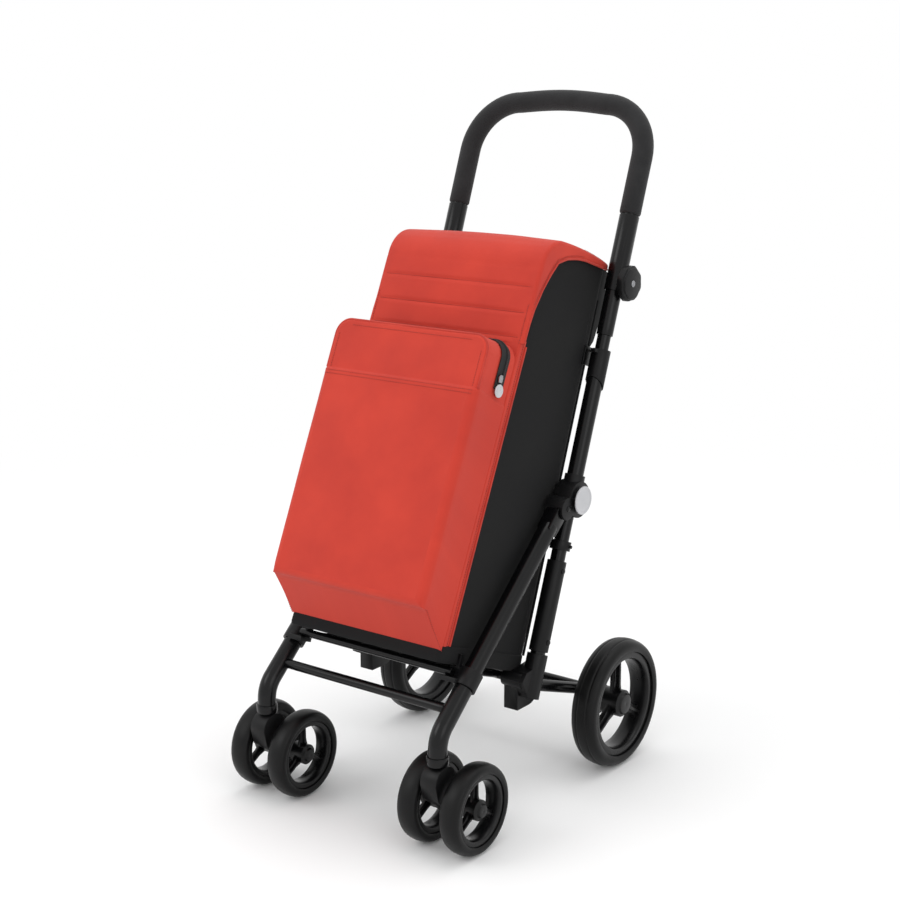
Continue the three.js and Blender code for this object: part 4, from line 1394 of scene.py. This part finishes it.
    def hanging_tabs(self) -> bpy.types.Object:
        """A cloth tab at each back corner of the bag's mouth, which carries it between the uprights."""
        plan = MeshPlan()
        outline = [(6, 690), (-4, 692), (-13, 706), (-17, 730), (-17, 800), (-14, 811), (-6, 814), (6, 812)]
        for side in Side:
            x = side.value * (FORM.half_width - 3)
            low, high = min(x, x - side.value * 2.4), max(x, x - side.value * 2.4)
            inner = [lean_point(low, v, up) for v, up in outline]
            outer = [lean_point(high, v, up) for v, up in outline]
            count = len(outline)
            faces = [tuple(reversed(range(count))), tuple(range(count, 2 * count))]
            faces += [(k, (k + 1) % count, count + (k + 1) % count, count + k) for k in range(count)]
            plan.add([*inner, *outer], faces)
        piece = bevelled(plan.build("bag_hanging_tabs", BLACK_PIPING), 0.8)
        return settle(piece, "frame")

    def build(self) -> None:
        """Builds the bag."""
        self.hanging_tabs()
        self.shell()
        self.red_front()
        self.base_band()
        self.seams()


@dataclass
class BagLid:
    """The lid: a bent red cover with quilted channels across its front and a rolled rim."""

    panel: tuple[tuple[float, float], ...] = (
        (2, 817), (46, 813), (87, 807), (112, 800), (133, 789), (146, 768), (158, 743), (168.5, 712),
        (172.5, 690), (175.5, 658),
    )
    wall: float = 2.6
    crown_top: float = 5.5
    crown_front: float = 1.6
    channels: tuple[float, ...] = (743.0, 705.0, 669.0)
    dome: float = 6.5

    def skirt(self, v: float, up: float, nv: float, nu: float) -> float:
        """How deep the side skirt is at a station: down to the line where the side panel begins."""
        deepest = 4.5
        for (v0, u0), (v1, u1) in zip(self.panel, self.panel[1:]):
            run_v, run_u = v1 - v0, u1 - u0
            cross = run_v * nu - run_u * nv
            if abs(cross) < 1e-6:
                continue
            share = ((v - v0) * nu - (up - u0) * nv) / cross
            depth = ((v0 + run_v * share - v) * nv + (u0 + run_u * share - up) * nu) * -1
            if -0.02 <= share <= 1.02 and 0 < depth < 45:
                deepest = max(deepest, depth)
        return max(deepest, 9.0) if up > FORM.corner_up else deepest

    def across(self, skirt: float) -> list[tuple[float, float]]:
        """The lid's cross line as (x, depth under the outer surface), for a skirt's depth."""
        w = FORM.lid_half_width
        r = min(5.5, skirt - 1.2)
        half = [(w - 0.9, skirt), (w - 0.3, skirt - (skirt - r) * 0.25), (w, r + (skirt - r) * 0.5)]
        half += [(w, r + (skirt - r) * 0.2)]
        half += [(w - 5.5 + 5.5 * x, r - r * z) for x, z in arc_points(1, 0, 90, 8)]
        half += [((w - 5.5) * (1 - k / 24), 0.0) for k in range(1, 25)]
        return [*[(-x, d) for x, d in half[:-1]], *reversed(half)]

    def bulge(self, ahead: float, up: float) -> float:
        """How far the whole top arches over its stiffener, from the back edge to the front bend."""
        reach = FORM.corner_ahead + FORM.lid_corner
        if up < FORM.corner_up:
            return 0.0
        return self.dome * math.sin(math.pi * max(0.0, min(1.0, ahead / reach))) ** 0.7

    def puff(self, ahead: float, up: float, share: float) -> float:
        """How far the cover stands out: crowned in the middle and pinched along its channels."""
        on_top = max(0.0, min(1.0, (FORM.corner_ahead + 30 - ahead) / 60))
        crown = self.crown_front + (self.crown_top - self.crown_front) * on_top
        out = crown * (1 - share * share)
        if ahead > FORM.corner_ahead + 30:
            pinch = sum(math.exp(-(((up - at) / 2.4) ** 2)) for at in self.channels)
            out += (0.7 - 2.1 * min(pinch, 1.0)) * (1 - share**10)
        return out

    def build(self) -> None:
        """Builds the cover, its rim piping and its stitching."""
        line = FORM.lid_line()
        rows, cloth = [], []
        length = 0.0
        for k, (v, up, nv, nu) in enumerate(line):
            if k:
                length += math.hypot(v - line[k - 1][0], up - line[k - 1][1])
            size = math.hypot(nv, nu)
            row, threads = [], []
            arch = self.bulge(v, up)
            for x, depth in self.across(self.skirt(v, up, nv / size, nu / size) + arch):
                share = min(1.0, abs(x) / (FORM.lid_half_width - 5))
                out = arch - depth + (self.puff(v, up, share) if depth < 1 else 0.0)
                out += 0.5 * fold_noise(x, length, 55, 4.4) * (1 - share**4)
                row.append(lean_point(x, v + nv / size * out, up + nu / size * out))
                threads.append((x, length))
            rows.append(row)
            cloth.append(threads)
        plan = MeshPlan()
        plan.add_grid(rows, cloth=cloth)
        cover = thicken(plan.build("lid_cover", RED_CLOTH, 60), self.wall)
        dress(cover, RED_CLOTH, 60)
        settle(cover, "lid", ["bag_lid"])
        self.trim(line)
        self.hinge_strip()

    def trim(self, line: Sequence[tuple[float, float, float, float]]) -> None:
        """The piping under the skirt's edge and the stitches beside it and along the channels."""
        plan = MeshPlan()
        runs: list[list[Vector]] = []
        for side in Side:
            x = side.value * (FORM.lid_half_width - 0.3)
            rim, hem = [], []
            for v, up, nv, nu in line:
                size = math.hypot(nv, nu)
                deep = self.skirt(v, up, nv / size, nu / size)
                rim.append(lean_point(x, v - nv / size * deep, up - nu / size * deep))
                wide, out = FORM.lid_half_width + 0.2, 4.5 - deep
                if deep <= 9:
                    wide, out = FORM.lid_half_width - 6, self.bulge(v, up) + self.puff(v, up, 0.95) + 0.3
                hem.append(lean_point(side.value * wide, v + nv / size * out, up + nu / size * out))
            part = sweep(rim, 1.7, 12, ends=0.6)
            plan.add(part.corners, part.faces)
            runs.append(hem)
        for at in self.channels:
            ahead = FORM.front(at)
            xs = [-128 + 256 * k / 64 for k in range(65)]
            runs.append([
                lean_point(x, ahead + 0.35 + self.puff(ahead, at, abs(x) / (FORM.lid_half_width - 5)), at)
                for x in xs
            ])
        settle(plan.build("lid_rim_piping", RED_PIPING, 60), "lid")
        settle(STITCHES.run("lid_stitches", runs, RED_THREAD), "lid")

    def hinge_strip(self) -> bpy.types.Object:
        """The strip of black cloth that joins the lid's back edge to the bag."""
        profile = [(-6.0, 780.0), (-6.3, 792.0), (-6.2, 803.0), (-5.0, 810.5), (-2.6, 815.5), (1.0, 817.4),
                   (6.0, 817.4), (12.0, 817.0)]
        rows, cloth = [], []
        length = 0.0
        for k, (v, up) in enumerate(profile):
            if k:
                length += math.hypot(v - profile[k - 1][0], up - profile[k - 1][1])
            xs = [-128 + 256 * j / 32 for j in range(33)]
            rows.append([lean_point(x, v - 2.2 * (1 - (x / 128) ** 2) * (up < 812), up) for x in xs])
            cloth.append([(x, length) for x in xs])
        plan = MeshPlan()
        plan.add_grid(rows, cloth=cloth)
        strip = thicken(plan.build("lid_hinge_strip", BLACK_CLOTH, 60), 0.9)
        dress(strip, BLACK_CLOTH, 60)
        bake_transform(strip)
        log.info("%s bends between the bag and the lid", strip.name)
        return strip


@dataclass
class FrontPocket:
    """The deep front pocket: a full red box of cloth with a patch pocket and a zipped top."""

    half_width: float = 136.0
    front_low: float = 277.0
    slope: float = 0.066
    fold: float = 274.0
    bottom: float = 222.0
    top: float = 656.0
    corner: float = 24.0
    edge: float = 5.0
    soft: float = 11.0
    hem: float = 580.0
    wall: float = 1.4
    zip_ahead: float = 17.0
    zip_from: float = 588.0

    def front(self, up: float) -> float:
        """How far ahead the pocket's face is at a height."""
        return self.front_low - self.slope * (up - self.fold)

    def round(self, up: float) -> float:
        """The radius of the face's edge: soft in the lower pocket, tight in the upper one."""
        return self.edge + (self.soft - self.edge) / (1 + math.exp((up - self.hem) / 1.5))

    def half_at(self, up: float, inset: float = 0.0) -> float:
        """Half the pocket's width at a height, less an inset, with its round top corners."""
        r = self.corner - inset
        over = up - (self.top - self.corner)
        w = self.half_width - inset
        return w if over <= 0 else w - r + math.sqrt(max(r * r - over * over, 0.0))

    def levels(self) -> list[float]:
        """Heights of the face's rows, close together at the hem and round the top corners."""
        low, high = self.fold + self.soft, self.top - self.edge
        shoulder = self.top - self.corner
        plain = [low + (self.hem - 4 - low) * k / 52 for k in range(52)]
        hem = [self.hem - 4 + 8 * k / 16 for k in range(16)]
        upper = [self.hem + 4 + (shoulder - self.hem - 4) * k / 10 for k in range(10)]
        r = self.corner - self.edge
        bend = [shoulder + r * math.sin(math.pi / 2 * k / 12) for k in range(13)]
        bend[-1] = high - 0.05
        return [*plain, *hem, *upper, *bend]

    def puff(self, x: float, up: float) -> float:
        """How far the face stands out: full in the middle, with a patch that ends at the hem."""
        share = min(1.0, abs(x) / self.half_width)
        tall = (up - self.fold) / (self.top - self.fold)
        crown = 3.2 * (1 - share**2) * math.sin(math.pi * min(max(tall, 0.0), 1.0)) ** 0.8
        patch = 4.2 / (1 + math.exp((up - self.hem) / 0.8))
        gape = 1.2 * (1 - share**2) * math.exp(-(((up - self.hem + 14) / 16) ** 2))
        fold = 0.9 * fold_noise(x, up, 75, 1.7) + 0.4 * fold_noise(x, up * 0.5, 34, 2.9)
        return crown + patch + gape + fold * (1 - share**6)

    def body(self) -> bpy.types.Object:
        """The pocket's cloth: the face, a rounded edge, the gusset and the sloping underside."""
        wide = 40
        rows, cloth = [], []
        for up in self.levels():
            half = self.half_at(up, self.round(up))
            row, threads = [], []
            for j in range(wide + 1):
                x = half * math.sin(math.pi / 2 * (2 * j / wide - 1))
                row.append((x, self.front(up) + self.puff(x, up), up))
                threads.append((x, up))
            rows.append(row)
            cloth.append(threads)
        plan = MeshPlan()
        plan.add_grid([[lean_point(*p) for p in row] for row in rows], cloth=cloth)
        rising, falling = [row[-1] for row in rows], [row[0] for row in reversed(rows)]
        rim = rising + rows[-1][-2:0:-1] + falling + rows[0][1:-1]
        gusset, threads_all = [], []
        for step in range(15):
            ring, threads = [], []
            for x, v, up in rim:
                ring_point = self.gusset_point(x, v, up, step)
                ring.append(lean_point(*ring_point))
                threads.append((x + v, up))
            gusset.append(ring)
            threads_all.append(threads)
        plan.add_grid(gusset, closed=True, cloth=threads_all)
        piece = thicken(plan.build("pocket_cloth", RED_CLOTH, 50), self.wall)
        dress(piece, RED_CLOTH, 50)
        return settle(piece, "frame", ["front_pocket"])

    def outward(self, x: float, up: float) -> tuple[float, float]:
        """The outward way, across and up, at a point of the face's rim."""
        shoulder = self.top - self.corner
        inner = self.half_width - self.corner
        if up > shoulder and abs(x) > inner:
            turn = Vector((abs(x) - inner, up - shoulder)).normalized()
            return math.copysign(turn.x, x), turn.y
        if up > shoulder + self.corner - self.edge - 1:
            return 0.0, 1.0
        if up < self.fold + self.soft + 0.5 and abs(x) < self.half_width - self.soft - 0.5:
            return 0.0, -1.0
        if up < self.fold + self.soft + 0.5:
            return math.copysign(0.7071, x), -0.7071
        return math.copysign(1.0, x), 0.0

    def lap(self, ox: float, up: float) -> float:
        """How far the lower pocket's side stands out past the upper one's."""
        return 1.8 * abs(ox) / (1 + math.exp((up - self.hem) / 0.8))

    def gusset_point(self, x: float, v: float, up: float, step: int) -> Point:
        """A point on the way from the face's rim round the edge and back to the bag.

        Args:
            x: the rim point's place across.
            v: its distance ahead.
            up: its height.
            step: 0 at the rim, 6 where the edge's round ends, 14 at the bag.

        Returns:
            The point in the lean frame.
        """
        ox, ou = self.outward(x, up)
        edge = self.round(up)
        reach = edge if abs(ox) != 0.7071 else edge * 1.4142
        if step <= 6:
            a = math.pi / 2 * step / 6
            return (
                x + ox * (reach + self.lap(ox, up)) * math.sin(a),
                v - edge * (1 - math.cos(a)),
                up + ou * reach * math.sin(a),
            )
        share = (step - 6) / 8
        x_out, up_out = x + ox * (reach + self.lap(ox, up)), up + ou * reach
        tall = (up_out - self.fold) / (self.top - self.fold)
        up_back = self.bottom + (self.top - self.bottom) * tall
        start = v - edge
        back = FORM.front(up_back) + 1.0
        pinch = -1.6 * math.sin(math.pi * share)
        return (
            x_out + ox * pinch,
            start + (back - start) * share,
            up_out + (up_back - up_out) * share + ou * pinch * 0.6,
        )

    def rim_path(self, out: float, ahead: Callable[[float], float], low: float) -> list[Vector]:
        """A path up one side, over the top and down the other, at a distance from the gusset."""
        shoulder = self.top - self.corner
        w = self.half_width + out
        r = self.corner + out
        rise = [(w, low + (shoulder - low) * k / 40) for k in range(40)]
        inner = self.half_width - self.corner
        bend = [(inner + r * x, shoulder + r * z) for x, z in arc_points(1, 0, 90, 10)]
        flat = [(inner * (1 - k / 12), self.top + out) for k in range(1, 13)]
        half = [*rise, *bend, *flat]
        whole = [*half, *[(-x, up) for x, up in reversed(half[:-1])]]
        return [lean_point(x, ahead(up), up) for x, up in whole]

    def piping(self) -> bpy.types.Object:
        """Corded piping round the face's edge above the hem."""
        plan = MeshPlan()
        edge = self.rim_path(-0.6, lambda up: self.front(up) - 2.2, self.hem + 1)
        part = sweep(edge, 1.7, 12, ends=0.6)
        plan.add(part.corners, part.faces)
        return settle(plan.build("pocket_piping", RED_PIPING, 60), "frame")

    def zip(self) -> None:
        """The zip on the gusset: tape, teeth, slider and a round pull."""
        def ahead(up: float) -> float:
            return FORM.front(up) + self.zip_ahead + 6

        tape = MeshPlan()
        middle = self.rim_path(1.1, ahead, self.zip_from)
        before = [self.rim_path(0.2, lambda up, d=d: ahead(up) + d, self.zip_from) for d in (-9, -5)]
        rise = self.rim_path(1.0, lambda up: ahead(up) - 3, self.zip_from)
        after = [self.rim_path(1.0, lambda up: ahead(up) + 3, self.zip_from)]
        after += [self.rim_path(0.2, lambda up, d=d: ahead(up) + d, self.zip_from) for d in (6, 12)]
        tape.add_grid([*before, rise, *after])
        band = thicken(tape.build("pocket_zip_tape", ZIP_TAPE, 60), 0.6, 0.0)
        dress(band, ZIP_TAPE, 60)
        settle(band, "frame")
        teeth = ZIP_TEETH.run("pocket_zip_teeth", [middle], ZIP_COIL)
        settle(teeth, "frame")

    def slider(self) -> None:
        """The zip's slider with a round pull that hangs from it."""
        low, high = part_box("zip_slider")
        at = Vector(((low.x / MM) + 1.2, (low.y + high.y) / 2 / MM, high.z / MM - 6))
        disc_at = node_centre("zip_slider") + lean_point(0, 0, -6) - lean_point(0, 0, 0)
        ring = [
            (0.0, 0.02), (0.0, 8.6), (0.5, 9.3), (1.6, 9.3), (2.1, 8.6), (2.1, 7.2), (1.6, 6.6), (1.6, 0.02),
        ]
        pull = lathe_x([(x + 1.2, r) for x, r in ring], Vector((low.x / MM, disc_at.y, disc_at.z)), 40, False)
        disc = pull.build("zip_pull_disc", GREY_ABS, 40)
        settle(disc, "zip", ["zip_slider"])
        body = prism_x(
            [(-4, -5), (4, -5), (4.6, 2), (3, 6), (-3, 6), (-4.6, 2)], 0.4, 3.6,
            Vector((low.x / MM, at.y + 1.5, at.z + 3)), -LEAN,
        )
        settle(bevelled(body.build("zip_slider_body", ZINC_STEEL), 0.7), "zip")

    def stitching(self) -> bpy.types.Object:
        """Topstitching beside the piping, twice along the hem and down the underside's corners."""
        runs: list[list[Vector]] = []
        for off in (3.0, 8.0):
            xs = [-(self.half_width - 6) + (2 * self.half_width - 12) * k / 80 for k in range(81)]
            up = self.hem - off
            runs.append([lean_point(x, self.front(up) + self.puff(x, up) + 0.3, up) for x in xs])
        for side in Side:
            path = []
            for k in range(24):
                up = self.hem + 4 + (self.top - self.corner - self.hem - 4) * k / 23
                x = side.value * (self.half_width - 9)
                path.append(lean_point(x, self.front(up) + self.puff(x, up) + 0.3, up))
            runs.append(path)
        for side in Side:
            low = self.fold + self.soft
            x = side.value * (self.half_width - self.soft)
            seam = [Vector(self.gusset_point(x, self.front(low), low, step)) for step in range(4, 15)]
            runs.append([lean_point(p.x + side.value * 0.4, p.y + 0.4, p.z - 0.4) for p in seam])
        top = self.top - 9
        xs = [-105 + 210 * k / 60 for k in range(61)]
        runs.append([lean_point(x, self.front(top) + self.puff(x, top) + 0.3, top) for x in xs])
        return settle(STITCHES.run("pocket_stitches", runs, RED_THREAD), "frame")

    def build(self) -> None:
        """Builds the pocket."""
        self.body()
        self.piping()
        self.zip()
        self.slider()
        self.stitching()


# ---------------------------------------------------------------- studio


@dataclass
class Studio:
    """A pale floor, soft lights and the camera."""

    camera_at: Point = (1.4615, -1.9555, 1.0775)
    yaw: float = 37.065
    pitch: float = 13.256
    lens: float = 67.53

    def floor(self) -> None:
        """A wide pale floor whose far part is as bright as the background."""
        material = bpy.data.materials.new("matt_white_studio_floor")
        material.use_nodes = True
        tree = material.node_tree
        shader = tree.nodes["Principled BSDF"]
        shader.inputs["Base Color"].default_value = linear("#F4F4F4")
        shader.inputs["Roughness"].default_value = 0.9
        at = add_node(tree, "ShaderNodeTexCoord").outputs["Object"]
        away = add_node(tree, "ShaderNodeVectorMath", {"operation": "LENGTH"}, {0: at})
        far = add_node(
            tree,
            "ShaderNodeMapRange",
            {"interpolation_type": "SMOOTHSTEP"},
            {"Value": away.outputs["Value"], "From Min": 0.9, "From Max": 2.4, "To Min": 0.0, "To Max": 1.0},
        )
        glow = add_node(tree, "ShaderNodeEmission", inputs={"Color": (1, 1, 1, 1), "Strength": 1.0})
        mix = add_node(
            tree,
            "ShaderNodeMixShader",
            inputs={0: far.outputs["Result"], 1: shader.outputs["BSDF"], 2: glow.outputs["Emission"]},
        )
        output = next(n for n in tree.nodes if n.type == "OUTPUT_MATERIAL")
        tree.links.new(mix.outputs["Shader"], output.inputs["Surface"])
        mesh = bpy.data.meshes.new("studio_floor")
        count = 96
        turns = [2 * math.pi * k / count for k in range(count)]
        mesh.from_pydata([Vector((30 * math.cos(a), 30 * math.sin(a), 0)) for a in turns], [], [range(count)])
        mesh.materials.append(material)
        floor = bpy.data.objects.new("studio_floor", mesh)
        bpy.context.scene.collection.objects.link(floor)

    def light(self, name: str, at: Point, target: Point, size: float, power: float) -> None:
        """A square area light that looks at a target."""
        lamp = bpy.data.lights.new(name, "AREA")
        lamp.shape = "SQUARE"
        lamp.size = size
        lamp.energy = power
        made = bpy.data.objects.new(name, lamp)
        made.location = at
        made.rotation_euler = (Vector(target) - Vector(at)).to_track_quat("-Z", "Y").to_euler()
        bpy.context.scene.collection.objects.link(made)

    def build(self) -> None:
        """Builds the floor, the background, the lights and the camera."""
        self.floor()
        world = bpy.data.worlds.new("studio_white")
        world.use_nodes = True
        back = world.node_tree.nodes["Background"]
        back.inputs["Color"].default_value = (1, 1, 1, 1)
        back.inputs["Strength"].default_value = 1.0
        bpy.context.scene.world = world
        bpy.context.scene.view_settings.view_transform = "Standard"
        self.light("key", (-1.6, -2.6, 2.6), (0, 0, 0.5), 1.8, 26)
        self.light("fill", (2.6, -1.2, 1.6), (0, 0, 0.5), 1.6, 9)
        self.light("top", (0.2, 0.4, 3.0), (0, 0, 0.4), 2.0, 16)
        camera = bpy.data.cameras.new("camera")
        camera.lens = self.lens
        camera.sensor_width = 36.0
        camera.clip_start, camera.clip_end = 0.05, 100.0
        made = bpy.data.objects.new("camera", camera)
        made.location = self.camera_at
        made.rotation_euler = (math.radians(90 - self.pitch), 0, math.radians(self.yaw))
        bpy.context.scene.collection.objects.link(made)
        bpy.context.scene.camera = made


def main() -> None:
    """Builds the studio and the trolley, one sub-assembly after another."""
    for part in (
        Studio(), LongTubes(), Undercarriage(), Handle(), FrontLegs(), RollingGear(),
        ClothBag(), BagLid(), FrontPocket(),
    ):
        part.build()
        log.info("%s is built", type(part).__name__)


if __name__ == "__main__":
    main()
